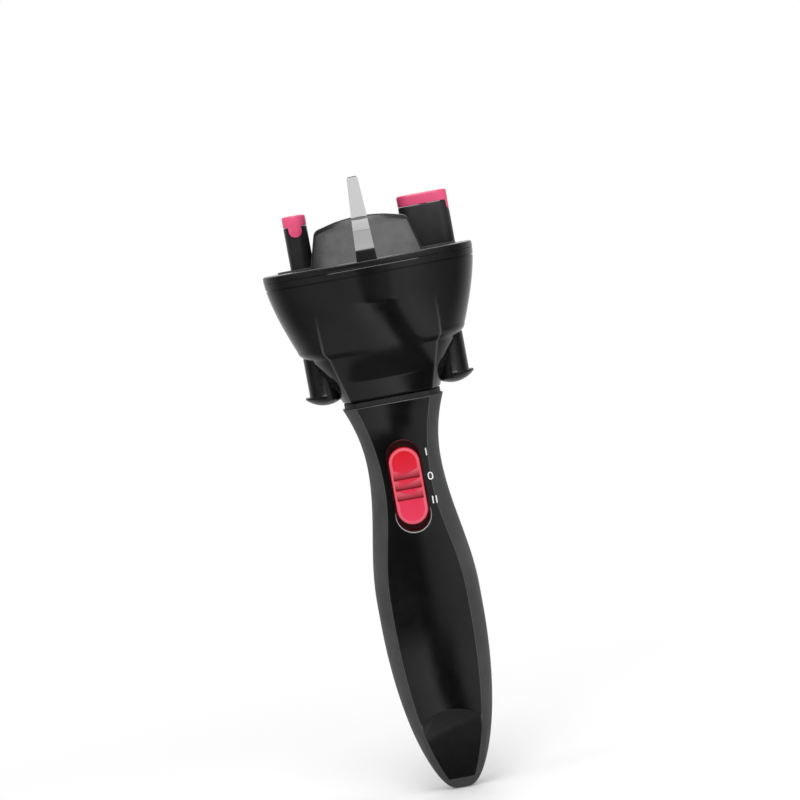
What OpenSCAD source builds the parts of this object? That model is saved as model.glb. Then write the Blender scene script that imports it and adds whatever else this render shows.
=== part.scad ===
// Automatic hair braider: a battery handle with a motor, and a turning head with two
// hook arms that twist two strands while the head winds them round each other.
// Z runs up the spin axis from the handle's tip, and the switch faces -Y.

/* [Handle] */
// Length of the handle from its tip to its top edge
handle_len = 165.2; // [162:0.2:172]
// Half of the handle's widest width
grip_w = 21.8; // [21:0.1:25]
// Half of the handle's width at the waist
waist_w = 15.5; // [15.3:0.1:17]
// Half of the handle's width at its top edge
top_w = 21.4; // [20.6:0.1:23]
// Depth of the round curve behind the front panel, at the grip
grip_front = 20.5; // [20:0.1:23]
// Depth of the same curve at the waist
waist_front = 17; // [16.6:0.1:19]
// Depth of the same curve at the top edge
top_front = 20; // [19:0.1:22]
// Depth of the back at the grip
grip_back = 19.5; // [19:0.1:22]
// Depth of the back at the waist
waist_back = 15.5; // [15.2:0.1:18]
// Depth of the back at the top edge
top_back = 19; // [18.4:0.1:21]
// How far the waist lies below the handle's top edge
waist_down = 26.7; // [24:0.1:29]
// Length over which the handle narrows from the grip to the waist
narrowing_len = 56.5; // [53:0.5:60]
// Length of the grip that keeps its full width
grip_len = 8; // [6:0.5:12]
// How far the tip's elliptic curve would run on below the tip
tip_blunt = 1; // [0.8:0.1:2]
// Wall of the moulded shells
wall = 2; // [1.6:0.1:2.2]
// Rise of the front panel between its two creases
panel_crown = 1.2; // [0.6:0.1:1.8]
// Height of the solid tip
tip_solid = 4; // [3.5:0.1:6]
// How far below the battery tray the flat cut at the tip of the front panel starts
facet_down = 3.4; // [3:0.1:7]
// Distance of that flat cut from the axis at the very tip
facet_tip = 1; // [0.8:0.1:2]

/* [Switch] */
// How far the middle of the switch recess lies below the handle's top edge
switch_down = 35.2; // [33.2:0.2:37.2]
// Length of the switch recess
recess_len = 38.8; // [38:0.1:41]
// Width of the switch recess
recess_w = 14.6; // [14.4:0.1:16]
// Length of the sliding knob
knob_len = 32.3; // [31:0.1:33]
// Width of the sliding knob
knob_w = 12.9; // [12:0.1:13]
// How far the knob stands in front of the recess floor
knob_h = 4.3; // [3.5:0.1:5]
// Depth of the recess floor in front of the axis
switch_floor = 12.1; // [11.8:0.1:12.4]
// Thickness of the bezel's floor
bezel_t = 1; // [0.8:0.1:1.2]
// Wall of the bezel round the knob
bezel_wall = 0.5; // [0.4:0.05:0.6]

/* [Batteries] */
// Length of an AA cell, its button included
cell_len = 50.5; // [49.5:0.1:50.5]
// Radius of an AA cell
cell_r = 7.25; // [7:0.05:7.25]
// How far behind the axis the cells lie
cell_y = 3.2; // [2.8:0.1:3.6]
// Half of the battery door's width
door_w = 13.5; // [12:0.5:14]
// Height of the coil contacts
coil_h = 3.1; // [2.5:0.1:4]

/* [Motor and gears] */
// Radius of the motor can
motor_r = 10; // [9:0.1:10.1]
// Width of the motor over its flats
motor_flat = 15.4; // [14.5:0.1:15.6]
// Length of the motor can
motor_len = 25; // [23:0.5:25.2]
// Radius of the motor shaft
motor_shaft_r = 1; // [0.9:0.05:1]
// Module of the small gears
small_mod = 0.4; // [0.38:0.01:0.42]
// Teeth of the small pinions
pinion_teeth = 10; // [10:2:12]
// Teeth of the small wheels
wheel_teeth = 26; // [22:2:26]
// Face width of the small wheels
wheel_face = 3; // [2.6:0.1:3.2]
// Height from one small wheel to the next
stage_step = 4.4; // [4.2:0.1:4.6]
// Module of the head's gears
head_mod = 1; // [0.95:0.01:1]
// Teeth of the sun gear
sun_teeth = 36; // [36:1:36]
// Teeth of each arm gear
arm_teeth = 18; // [18:1:18]
// Face width of the head's gears
head_face = 5; // [4:0.2:5.4]
// Thickness of the gear plates
plate_t = 2; // [1.6:0.1:2.4]

/* [Head] */
// Gap between the handle's top edge and the head
neck_gap = 2.5; // [2:0.1:3.5]
// Height of the cup from its bottom edge to the rim seam
cup_h = 54.6; // [54:0.2:58]
// Half of the head's width at the neck
neck_w = 20.7; // [20.5:0.1:22]
// Half of the head's width just under the shoulder
under_w = 31.2; // [30.5:0.1:32]
// Half of the head's width just over the shoulder
shoulder_w = 35.4; // [35:0.1:36.2]
// Half of the rim's width
rim_w = 44.1; // [43:0.1:46]
// Half of the rim's depth
rim_d = 28.3; // [27:0.1:31]
// Depth of the round curve behind the neck's front panel
neck_front = 24; // [23:0.1:25]
// Depth of the neck at the back
neck_back = 18.5; // [18:0.1:20]
// Height of the shoulder above the cup's bottom edge
shoulder_h = 19.5; // [19:0.1:20.5]
// Thickness of the cup's floor
floor_t = 2.5; // [2:0.1:3]
// Thickness of the top cover's plate
cover_t = 2.9; // [2.6:0.1:3.4]
// Height of the dome's top above the rim seam
dome_h = 21; // [20:0.2:22]
// How much lower the corners of the dome's top are than its middle
dome_drop = 3; // [2:0.1:4]
// Half of the dome's width at its foot
dome_foot_w = 24; // [22:0.2:25]
// Half of the dome's width at its top
dome_top_w = 19.3; // [18:0.1:20.5]
// How far the dome's front leans back over its height
dome_lean = 6; // [4:0.5:8]
// Height of the divider fin's top above the rim seam
fin_h = 37.7; // [35:0.2:40]
// Width of the fin at its foot, at the dome's top and at its own top
fin_foot_w = 8.3; // [7:0.1:9]
// Width of the fin where it leaves the dome
fin_mid_w = 6.5; // [5.5:0.1:7]
// Width of the fin's top
fin_top_w = 4.5; // [4:0.1:5.5]
// How far the fin stands proud of the dome
fin_proud = 0.8; // [0.6:0.1:1.2]

/* [Arms] */
// Length of an arm and its hook
arm_len = 21; // [19:0.2:21.4]
// Width of an arm and its hook
arm_w = 9.6; // [8.6:0.2:10.4]
// Height of an arm above its turntable
arm_h = 17.5; // [16:0.5:19]
// Thickness of the turntable that shows
turntable_t = 2.1; // [1.8:0.1:2.5]
// Radius of the turntable
turntable_r = 10.6; // [10.6:0.1:10.8]
// Thickness of the hook's bar
hook_t = 4.6; // [3.6:0.2:5.2]
// Width of the hook's leg
leg_w = 5.5; // [4.5:0.1:6]
// Length of the hook's leg along the bar
leg_d = 3.2; // [2.6:0.1:3.6]
// How far the leg reaches below the top of the arm
leg_drop = 4.4; // [3.6:0.1:5]
// Lift of the hook and of its push button
lift = 7; // [5:0.5:7]
// Radius of the lift rod
rod_r = 1.5; // [1.3:0.05:1.6]
// Radius of the spindle under the turntable
spindle_r = 4.5; // [4.2:0.1:4.8]
// Radius of the push button's sleeve
sleeve_r = 6.7; // [6.3:0.1:6.8]
// Radius of the push button's lip
lip_r = 8.6; // [8.2:0.1:9]
// Height of the push button from its lowest point
button_h = 20.9; // [20:0.1:21.5]
// Rise of the push button's round thumb face
thumb_rise = 3.6; // [3:0.1:4]
// Turns of a return spring
spring_turns = 9; // [7:1:10]
// Wire radius of a return spring
wire_r = 0.35; // [0.3:0.05:0.4]
// Angle of the right arm at rest
right_rest = 0; // [0:5:90]
// Angle of the left arm at rest
left_rest = -90; // [-90:5:0]

/* [Fits] */
// Radial clearance of a shaft in its bore
run = 0.06; // [0.04:0.01:0.08]
// Gap between pieces that slide or turn past each other
gap = 0.3; // [0.25:0.05:0.35]
// Gap between pieces that lie still against each other
rest_gap = 0.1; // [0.08:0.01:0.12]

/* [Hidden] */

round_fn = 48;
front_steps = 10;
side_steps = 5;
back_steps = 14;
over = 1;

black = [0.07, 0.07, 0.08];
satin_black = [0.16, 0.16, 0.17];
pink = [0.88, 0.31, 0.49];
red = [0.88, 0.16, 0.24];
steel = [0.7, 0.71, 0.73];
nylon = [0.9, 0.88, 0.82];
brass = [0.8, 0.66, 0.35];

// Heights
head_z = handle_len + neck_gap;
rim_z = head_z + cup_h;
cover_z = rim_z + cover_t;
dome_z = rim_z + dome_h;
fin_z = rim_z + fin_h;
shoulder_z = head_z + shoulder_h;
bearing_h = 8.2;
bearing_z = handle_len - bearing_h;
lower_plate_z = handle_len - 42.5;
train_z = lower_plate_z + plate_t + 1.3;
upper_plate_z = train_z + 4 * stage_step + 0.6;
motor_z = lower_plate_z - rest_gap - motor_len;
tray_top = motor_z - 0.8;
contact_t = 0.5;
bulkhead_t = 2;
cell_top = tray_top - bulkhead_t - contact_t;
cell_foot = cell_top - cell_len - coil_h;
tray_foot = cell_foot - contact_t - bulkhead_t;
waist_z = handle_len - waist_down;
grip_end = waist_z - narrowing_len;
grip_start = grip_end - grip_len;
tip_curve_len = grip_start + tip_blunt;
facet_top = tray_foot - facet_down;
switch_z = handle_len - switch_down;
door_z0 = cell_foot - 0.5;
door_z1 = cell_top;

// Centre distances of the meshed gears
axle_x = small_mod * (pinion_teeth + wheel_teeth) / 2;
arm_x = head_mod * (sun_teeth + arm_teeth) / 2;

// Levels of the head's inner parts
gear_z = rim_z - 11.3;
carrier_z = gear_z - 5.5;
carrier_t = 2.5;
boss_z = rim_z - 5;
boss_r = 7;
turntable_z = cover_z - 1.3;
arm_z = turntable_z + turntable_t;
arm_top = arm_z + arm_h;
recess_r = turntable_r + gap;
sweep_r = turntable_r + 0.7;
button_top = head_z + 0.4 + button_h;
cup_bore_r = sleeve_r + gap;
guide_r = cup_bore_r + 1.8;
guide_top = button_top + lift + 1.5;
button_wall = 1.5;
collar_t = 1.6;
collar_z = button_top - 15;
collar_r = sleeve_r - button_wall - gap;
spring_r = 3.4;
hub_r = 9;
hub_foot = bearing_z - 2.4;
hub_flange_r = 13.5;
screw_r = 1.2;
screw_head_r = 2.3;

// ---------- curves ----------

function curve_x(w, e, t) = w * sign(sin(t)) * pow(abs(sin(t)), 2 / e);
function curve_y(d, e, t) = -d * sign(cos(t)) * pow(abs(cos(t)), 2 / e);

// A section is [half width, front depth, back depth, exponent, crease angle, crown, flatness].
// It is a superellipse whose front is flattened between two creases.
function section_xy(s, t) =
    let (x = curve_x(s[0], s[3], t),
         y = curve_y(cos(t) > 0 ? s[1] : s[2], s[3], t))
    abs(t) > s[4] ? [x, y] :
    let (edge_x = curve_x(s[0], s[3], s[4]),
         edge_y = curve_y(s[1], s[3], s[4]),
         flat_y = edge_y - s[5] * (1 - pow(x / edge_x, 2)))
    [x, flat_y * s[6] + y * (1 - s[6])];

function front_angles(tr, trim) =
    [for (i = [0:front_steps]) (tr - trim) * (2 * i / front_steps - 1)];
function rear_angles(tr) = concat(
    [for (i = [0:side_steps - 1]) tr + (90 - tr) * i / side_steps],
    [for (i = [0:back_steps - 1]) 90 + 180 * i / back_steps],
    [for (i = [0:side_steps]) 270 + (90 - tr) * i / side_steps]);
function full_angles(tr) =
    let (rear = rear_angles(tr))
    concat(front_angles(tr, 0), [for (i = [1:len(rear) - 2]) rear[i]]);

function ring(s, angles, z) = [for (t = angles) let (p = section_xy(s, t)) [p[0], p[1], z]];
function reversed(list) = [for (i = [len(list) - 1:-1:0]) list[i]];

// A closed solid through rings that each have as many points. The other diagonal suits a
// solid whose wall faces that of another loft.
module loft(rings, other_diagonal = false) {
    n = len(rings[0]);
    m = len(rings);
    sides = [for (i = [0:m - 2], j = [0:n - 1])
        let (a = i * n + j, b = i * n + (j + 1) % n)
        each other_diagonal ? [[a, a + n, b], [b, a + n, b + n]]
                            : [[a, a + n, b + n], [a, b + n, b]]];
    polyhedron([for (r = rings) each r],
               concat([[for (j = [0:n - 1]) j]], sides, [[for (j = [n - 1:-1:0]) (m - 1) * n + j]]),
               convexity = 8);
}

// Polygon points from [x, y, radius] corners, each rounded by an arc
function rounded(corners, steps = 5) = [for (i = [0:len(corners) - 1])
    let (n = len(corners),
         p = corners[i],
         a = corners[(i + n - 1) % n],
         b = corners[(i + 1) % n],
         pa = [a[0] - p[0], a[1] - p[1]] / norm([a[0] - p[0], a[1] - p[1]]),
         pb = [b[0] - p[0], b[1] - p[1]] / norm([b[0] - p[0], b[1] - p[1]]),
         half = acos(pa * pb) / 2,
         mid = (pa + pb) / norm(pa + pb),
         c = [p[0], p[1]] + mid * p[2] / sin(half),
         a0 = atan2(-mid[1], -mid[0]),
         turn = sign(pa[0] * pb[1] - pa[1] * pb[0]))
    each p[2] == 0 ? [[p[0], p[1]]] :
        [for (k = [0:steps])
            let (a1 = a0 + turn * (90 - half) * (1 - 2 * k / steps))
            c + p[2] * [cos(a1), sin(a1)]]];

// ---------- handle ----------

function handle_half(z, grip, waist, top) =
    z < grip_start ? grip * sqrt(1 - pow((grip_start - z) / tip_curve_len, 2)) :
    z < grip_end ? grip :
    z < waist_z ? (grip + waist) / 2
        + (grip - waist) / 2 * cos(180 * (z - grip_end) / (waist_z - grip_end)) :
    waist + (top - waist) * pow((z - waist_z) / (handle_len - waist_z), 2);

// Share of the half width where the crease of the front panel runs
function crease_share(z) = 0.76 - 0.11 * exp(-pow((z - (waist_z - 14)) / 22, 2));

function handle_section(z, inset) =
    let (tr = asin(crease_share(z)))
    [handle_half(z, grip_w, waist_w, top_w) - inset,
     handle_half(z, grip_front, waist_front, top_front) - inset / cos(tr),
     handle_half(z, grip_back, waist_back, top_back) - inset,
     2, tr, panel_crown * handle_half(z, grip_w, waist_w, top_w) / grip_w, 1];

// Distance of the flat cut from the axis at a height
facet_depth = let (s = handle_section(facet_top, 0)) s[1] * cos(s[4]) + s[5];
function facet_y(z) = facet_tip + (facet_depth - facet_tip) * z / facet_top;
function kept_inside(p, z) =
    [p[0], z < facet_top + 4 ? max(p[1], -(facet_y(z) - wall)) : p[1], z];

handle_steps = [tip_solid, for (share = [0.042, 0.067, 0.103, 0.145, 0.194, 0.248, 0.315,
        0.387, 0.472, 0.533, 0.587, 0.642, 0.696, 0.745, 0.793, 0.841, 0.884, 0.92, 0.95,
        0.978, 1]) handle_len * share];

function handle_ring(z, angles, inner_angles) = concat(
    ring(handle_section(z, 0), angles, z),
    [for (p = ring(handle_section(z, wall), inner_angles, z)) kept_inside(p, z)]);

module handle_solid(inset, z0, z1, steps) {
    loft([for (i = [0:steps])
        let (z = z0 + (z1 - z0) * i / steps, s = handle_section(z, inset))
        ring(s, full_angles(s[4]), z)]);
}

// Everything in front of the flat cut
module facet_cut() {
    rise = atan2(facet_depth - facet_tip, facet_top);
    translate([0, -facet_tip, 0]) rotate([rise, 0, 0])
        translate([-30, -30, -20]) cube([60, 30, facet_top / cos(rise) + 30]);
}

module stadium(length, width) {
    union() {
        square([width, length - width], center = true);
        for (s = [-1, 1]) translate([0, s * (length - width) / 2])
            circle(d = width, $fn = round_fn);
    }
}

// A stadium plate that faces -Y, from y0 to y1, long side along Z
module front_stadium(length, width, z, y0, y1) {
    translate([0, y1, z]) rotate([90, 0, 0]) linear_extrude(y1 - y0) stadium(length, width);
}

screw_low_z = tray_foot - 13.2;
screw_top_z = handle_len - 14.2;
screw_top_x = 7.3;
shell_screw_places = [[0, screw_low_z], [-screw_top_x, screw_top_z], [screw_top_x, screw_top_z]];
boss_wall_r = 2.8;
parting_y = 1;
screw_head_y = 9;

module boss_bars(y0, y1, r) {
    for (p = shell_screw_places) translate([p[0], y1, p[1]]) rotate([90, 0, 0])
        cylinder(r = r, h = y1 - y0, $fn = round_fn);
}

// Bosses that end inside the wall of the front cover, and of the body
module front_bosses() {
    for (p = shell_screw_places)
        let (s = handle_section(p[1], 0), end = s[1] * cos(s[4]) - 1.1)
        translate([p[0], parting_y - rest_gap, p[1]]) rotate([90, 0, 0])
            cylinder(r = boss_wall_r, h = end + parting_y - rest_gap, $fn = round_fn);
}

module rear_bosses() {
    for (p = shell_screw_places)
        let (s = handle_section(p[1], 0),
             end = s[2] * sqrt(1 - pow((abs(p[0]) + boss_wall_r) / s[0], 2)) - 0.4)
        translate([p[0], end, p[1]]) rotate([90, 0, 0])
            cylinder(r = boss_wall_r, h = end - parting_y, $fn = round_fn);
}

module handle_front_cover() {
    color(black) difference() {
        union() {
            loft([for (z = handle_steps)
                let (tr = asin(crease_share(z)), a = front_angles(tr, 0.4))
                handle_ring(z, a, reversed(a))], true);
            front_bosses();
        }
        facet_cut();
        front_stadium(recess_len, recess_w, switch_z, -30, 0);
        boss_bars(-7, 20, screw_r);
    }
}

// A full ring of the tip, with as many points as a ring of the open body above it
function tip_ring(z) =
    let (s = handle_section(z, 0), rear = rear_angles(s[4]), n = len(rear) - 1)
    concat(ring(s, rear, z),
           ring(s, [for (i = [0:n]) s[4] * (2 * i / n - 1) * 0.97], z));

module handle_body() {
    color(satin_black) difference() {
        union() {
            loft(concat([for (z = [0, tip_solid / 3, tip_solid - gap]) tip_ring(z)],
                [for (z = handle_steps)
                    let (a = rear_angles(asin(crease_share(z))))
                    handle_ring(z, a, reversed(a))]));
            rear_bosses();
        }
        facet_cut();
        translate([-door_w, 4, door_z0]) cube([2 * door_w, 30, door_z1 - door_z0]);
        boss_bars(-20, 30, screw_r + rest_gap);
        boss_bars(screw_head_y, 30, screw_head_r + rest_gap);
    }
}

// The door carries on the handle's back between the cut edges
module battery_door() {
    grip_line = 1;
    color(satin_black) difference() {
        intersection() {
            translate([-door_w + rest_gap, 4, door_z0 + rest_gap])
                cube([2 * (door_w - rest_gap), 30, door_z1 - door_z0 - 2 * rest_gap]);
            difference() {
                handle_solid(0, door_z0 - 4, door_z1 + 4, 8);
                handle_solid(wall, door_z0 - 5, door_z1 + 5, 8);
            }
        }
        for (i = [0:4])
            translate([-6, grip_back - 0.6, door_z1 - 6 - 2.4 * i]) cube([12, 5, grip_line]);
    }
}

// A wall across the handle's inside
module bulkhead(z0, z1) {
    handle_solid(wall + rest_gap, z0, z1, 1);
}

module battery_tray() {
    color(black) {
        difference() {
            union() {
                bulkhead(tray_foot, tray_foot + bulkhead_t);
                bulkhead(tray_top - bulkhead_t, tray_top);
                translate([-1, cell_y - cell_r - 2, tray_foot + bulkhead_t / 2])
                    cube([2, 5, tray_top - tray_foot - bulkhead_t]);
                translate([-13, cell_y - cell_r - 2, tray_foot + bulkhead_t / 2])
                    cube([26, 1.8, tray_top - tray_foot - bulkhead_t]);
            }
            translate([0, 0, cell_foot])
                for (s = [-1, 1]) translate([s * (cell_r + gap), cell_y, 0])
                    cylinder(r = cell_r + gap / 2, h = cell_top - cell_foot, $fn = round_fn);
        }
    }
}

module cell(z, up) {
    button_r = 2.7;
    button_len = 1;
    can_len = cell_len - button_len;
    translate([0, 0, z]) {
        translate([0, 0, up ? 0 : button_len]) cylinder(r = cell_r, h = can_len, $fn = round_fn);
        translate([0, 0, up ? can_len : 0]) cylinder(r = button_r, h = button_len, $fn = round_fn);
    }
}

module batteries() {
    color(brass) {
        translate([-cell_r - gap, cell_y, 0]) cell(cell_foot + coil_h, true);
        translate([cell_r + gap, cell_y, 0]) cell(cell_foot, false);
    }
}

module battery_contacts() {
    coil_r = 3.6;
    color(steel) {
        for (z = [cell_foot - contact_t, cell_top])
            translate([-12, cell_y - 4, z]) cube([24, 8, contact_t]);
        translate([-cell_r - gap, cell_y, cell_foot - contact_t])
            cylinder(r1 = coil_r, r2 = coil_r - 1.2, h = coil_h + contact_t, $fn = round_fn);
        translate([cell_r + gap, cell_y, cell_top - coil_h])
            cylinder(r1 = coil_r - 1.2, r2 = coil_r, h = coil_h + contact_t, $fn = round_fn);
    }
}

// ---------- switch ----------

bezel_len = recess_len - 2 * rest_gap;
bezel_w = recess_w - 2 * rest_gap;
bezel_front = switch_floor + 2.2;
stem_len = 5;
stem_w = 3;
knob_travel = (bezel_len - 2 * bezel_wall - knob_len) / 2 - rest_gap;
switch_t = 3.2;
switch_len = 19;
switch_w = 8.4;

module switch_bezel() {
    color([0.42, 0.05, 0.1]) difference() {
        front_stadium(bezel_len, bezel_w, switch_z, -bezel_front, -switch_floor + bezel_t);
        front_stadium(bezel_len - 2 * bezel_wall, bezel_w - 2 * bezel_wall, switch_z,
                      -bezel_front - over, -switch_floor);
        translate([-stem_w / 2 - gap, -switch_floor - over,
                   switch_z - stem_len / 2 - knob_travel - gap])
            cube([stem_w + 2 * gap, 4, stem_len + 2 * (knob_travel + gap)]);
    }
}

module switch_knob() {
    edge = 1.2;
    ribs = 3;
    rib_step = 4.4;
    foot = switch_floor + gap;
    color(red) {
        union() {
            hull() {
                front_stadium(knob_len, knob_w, switch_z, -foot - knob_h + edge, -foot);
                front_stadium(knob_len - 2 * edge, knob_w - 2 * edge, switch_z,
                              -foot - knob_h, -foot - knob_h + edge);
            }
            for (i = [0:ribs - 1])
                translate([-knob_w / 2 + 1.6, -foot - knob_h - 0.6,
                           switch_z + (i - (ribs - 1) / 2) * rib_step - 0.7])
                    cube([knob_w - 3.2, 1.2, 1.4]);
            translate([-stem_w / 2, -foot - over, switch_z - stem_len / 2])
                cube([stem_w, over + gap + bezel_t + 1.6, stem_len]);
        }
    }
}

module slide_switch() {
    front = switch_floor - bezel_t - rest_gap;
    color(steel) difference() {
        translate([-switch_w / 2, -front, switch_z - switch_len / 2])
            cube([switch_w, switch_t, switch_len]);
        translate([-stem_w / 2 - gap, -front - over,
                   switch_z - stem_len / 2 - knob_travel - gap])
            cube([stem_w + 2 * gap, over + 2.2, stem_len + 2 * (knob_travel + gap)]);
    }
}

// ---------- motor and small gears ----------

function involute(r, base) = let (a = acos(min(1, base / r))) tan(a) * 180 / PI - a;

// Involute teeth with 20 degrees of pressure angle, and with play between the flanks
module gear_outline(teeth, mod, play, phase) {
    pitch_r = teeth * mod / 2;
    base_r = pitch_r * cos(20);
    tip_r = pitch_r + 0.9 * mod;
    root_r = pitch_r - 1.25 * mod;
    half_p = 90 / teeth - play / pitch_r * 90 / PI;
    flank = [for (r = [max(base_r, pitch_r * 0.97), tip_r])
        [r, half_p + involute(pitch_r, base_r) - involute(r, base_r)]];
    root_half = flank[0][1] * 0.92;
    side = concat([[root_r, root_half]], flank);
    polygon([for (i = [0:teeth - 1])
        let (mid = phase + i * 360 / teeth)
        each concat(
            [for (p = side) p[0] * [cos(mid - p[1]), sin(mid - p[1])]],
            [for (p = reversed(side)) p[0] * [cos(mid + p[1]), sin(mid + p[1])]])]);
}

module gear(teeth, mod, play, phase, face, bore_r) {
    linear_extrude(face) difference() {
        gear_outline(teeth, mod, play, phase);
        circle(r = bore_r, $fn = round_fn);
    }
}

small_play = 0.1;
pinion_face = wheel_face + 1.8;
axle_r = 0.75;
output_r = 1.5;
link_gap = 0.4;
link_z = hub_foot - 1.4;

// A wheel with a pinion on top, in mesh at rest
module double_gear(stage, bore_r) {
    translate([stage % 2 == 0 ? axle_x : 0, 0, train_z + 0.6 + stage * stage_step]) {
        gear(wheel_teeth, small_mod, small_play, 180 / wheel_teeth, wheel_face, bore_r);
        translate([0, 0, wheel_face])
            gear(pinion_teeth, small_mod, small_play, 0, pinion_face, bore_r);
    }
}

module motor() {
    boss_r = 3;
    boss_h = 1.2;
    color(steel) difference() {
        union() {
            intersection() {
                translate([0, 0, motor_z]) cylinder(r = motor_r, h = motor_len, $fn = round_fn);
                translate([-motor_r - over, -motor_flat / 2, motor_z - over])
                    cube([2 * (motor_r + over), motor_flat, motor_len + 2 * over]);
            }
            translate([0, 0, motor_z + motor_len - over])
                cylinder(r = boss_r, h = boss_h + over, $fn = round_fn);
        }
        translate([0, 0, motor_z + motor_len - 12])
            cylinder(r = motor_shaft_r + run, h = 20, $fn = round_fn);
    }
}

module motor_shaft() {
    foot = motor_z + motor_len - 11;
    color(steel) translate([0, 0, foot])
        cylinder(r = motor_shaft_r, h = train_z + stage_step - foot, $fn = round_fn);
}

module motor_pinion() {
    color(brass) translate([0, 0, train_z])
        gear(pinion_teeth, small_mod, small_play, 0, stage_step, motor_shaft_r);
}

module first_gear() { color(nylon) double_gear(0, axle_r + run); }
module second_gear() { color(nylon) double_gear(1, motor_shaft_r + run); }
module third_gear() { color(nylon) double_gear(2, axle_r + run); }

output_z = train_z + 0.6 + 3 * stage_step;

module output_gear() {
    color(nylon) translate([0, 0, output_z])
        gear(wheel_teeth, small_mod, small_play, 180 / wheel_teeth, wheel_face, output_r);
}

module output_shaft() {
    foot = train_z + 0.6 + stage_step + 0.4;
    color(steel) {
        translate([0, 0, foot]) cylinder(r = motor_shaft_r, h = output_z - foot, $fn = round_fn);
        translate([0, 0, output_z])
            cylinder(r = output_r, h = link_z - link_gap - output_z, $fn = round_fn);
    }
}

module gear_axle() {
    color(steel) translate([axle_x, 0, lower_plate_z])
        cylinder(r = axle_r, h = upper_plate_z + plate_t - lower_plate_z, $fn = round_fn);
}

pillars = [[-8.6, 5.4], [-8.6, -5.4], [5.4, 8.8]];
pillar_r = 1.5;

module lower_gear_plate() {
    color(black) difference() {
        bulkhead(lower_plate_z, lower_plate_z + plate_t);
        translate([0, 0, lower_plate_z - over])
            cylinder(r = 3 + rest_gap, h = plate_t + 2 * over, $fn = round_fn);
        translate([axle_x, 0, lower_plate_z - over])
            cylinder(r = axle_r, h = plate_t + 2 * over, $fn = round_fn);
        translate([-switch_w / 2 - gap, -30, lower_plate_z - over])
            cube([switch_w + 2 * gap, 30 - switch_floor + bezel_t + switch_t + 2 * rest_gap,
                  plate_t + 2 * over]);
        translate([-recess_w / 2 - gap, -30, lower_plate_z - over])
            cube([recess_w + 2 * gap, 30 - switch_floor + bezel_t + gap, plate_t + 2 * over]);
    }
}

module upper_gear_plate() {
    color(black) difference() {
        union() {
            bulkhead(upper_plate_z, upper_plate_z + plate_t);
            for (p = pillars) translate([p[0], p[1], lower_plate_z + plate_t])
                cylinder(r = pillar_r, h = upper_plate_z - lower_plate_z - plate_t + 0.5,
                         $fn = round_fn);
        }
        translate([0, 0, upper_plate_z - over])
            cylinder(r = output_r + run, h = plate_t + 2 * over, $fn = round_fn);
        translate([axle_x, 0, upper_plate_z - over])
            cylinder(r = axle_r, h = plate_t + 2 * over, $fn = round_fn);
    }
}

// ---------- neck ----------

module neck_bearing() {
    color(nylon) difference() {
        handle_solid(wall + rest_gap, bearing_z, handle_len, 3);
        translate([0, 0, bearing_z - over])
            cylinder(r = hub_r + run, h = bearing_h + 2 * over, $fn = round_fn);
    }
}

module thrust_washer() {
    washer_r = 16.4;
    color(black) difference() {
        translate([0, 0, handle_len]) cylinder(r = washer_r, h = neck_gap - gap, $fn = round_fn);
        translate([0, 0, handle_len - over])
            cylinder(r = hub_r + gap, h = neck_gap + 2 * over, $fn = round_fn);
    }
}

module head_hub() {
    groove_z = bearing_z - 1.4;
    color(nylon) difference() {
        union() {
            translate([0, 0, hub_foot])
                cylinder(r = hub_r, h = head_z + floor_t - hub_foot + over, $fn = round_fn);
            translate([0, 0, head_z + floor_t])
                cylinder(r = hub_flange_r, h = 2, $fn = round_fn);
        }
        translate([0, 0, hub_foot - over])
            cylinder(r = rod_r + 0.5 + run, h = 40, $fn = round_fn);
        difference() {
            translate([0, 0, groove_z]) cylinder(r = hub_r + over, h = 1.2, $fn = round_fn);
            translate([0, 0, groove_z - over])
                cylinder(r = hub_r - 0.8, h = 1.2 + 2 * over, $fn = round_fn);
        }
        for (a = [90, 210, 330]) rotate([0, 0, a]) translate([11.4, 0, head_z])
            cylinder(r = screw_r, h = 10, $fn = round_fn);
        translate([-20, -31.5, head_z + floor_t]) cube([40, 20, 5]);
    }
}

// A clip in the hub's groove that keeps the head on the handle
module hub_retaining_ring() {
    clip_t = 1;
    clip_z = bearing_z - gap - clip_t;
    color(steel) difference() {
        translate([0, 0, clip_z]) cylinder(r = hub_r + 1.8, h = clip_t, $fn = round_fn);
        translate([0, 0, clip_z - over])
            cylinder(r = hub_r - 0.75, h = clip_t + 2 * over, $fn = round_fn);
        translate([-3, 0, clip_z - over]) cube([6, 20, clip_t + 2 * over]);
    }
}

module screw(length) {
    head_h = 1.6;
    cylinder(r = screw_head_r, h = head_h, $fn = round_fn);
    translate([0, 0, -length]) cylinder(r = screw_r, h = length + 0.1, $fn = round_fn);
}

module shell_screws() {
    color(steel) for (p = shell_screw_places)
        translate([p[0], screw_head_y, p[1]]) rotate([-90, 0, 0]) screw(15);
}

// ---------- head ----------

sun_r = 2;
post_places = [[-13, -15.5], [13, -15.5], [-13, 15.5], [13, 15.5]];
post_r = 3;

function upto(z, z0, z1) = max(0, min(1, (z - z0) / (z1 - z0)));

function head_w(z) =
    z <= shoulder_z ? neck_w + (under_w - neck_w) * pow(upto(z, head_z, shoulder_z), 1.12) :
    z < shoulder_z + 4.6 ?
        under_w + (shoulder_w - under_w) * sin(90 * upto(z, shoulder_z, shoulder_z + 4.6)) :
    rim_w - (rim_w - shoulder_w) * pow(1 - upto(z, shoulder_z + 4.6, rim_z), 1.43);

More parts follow.
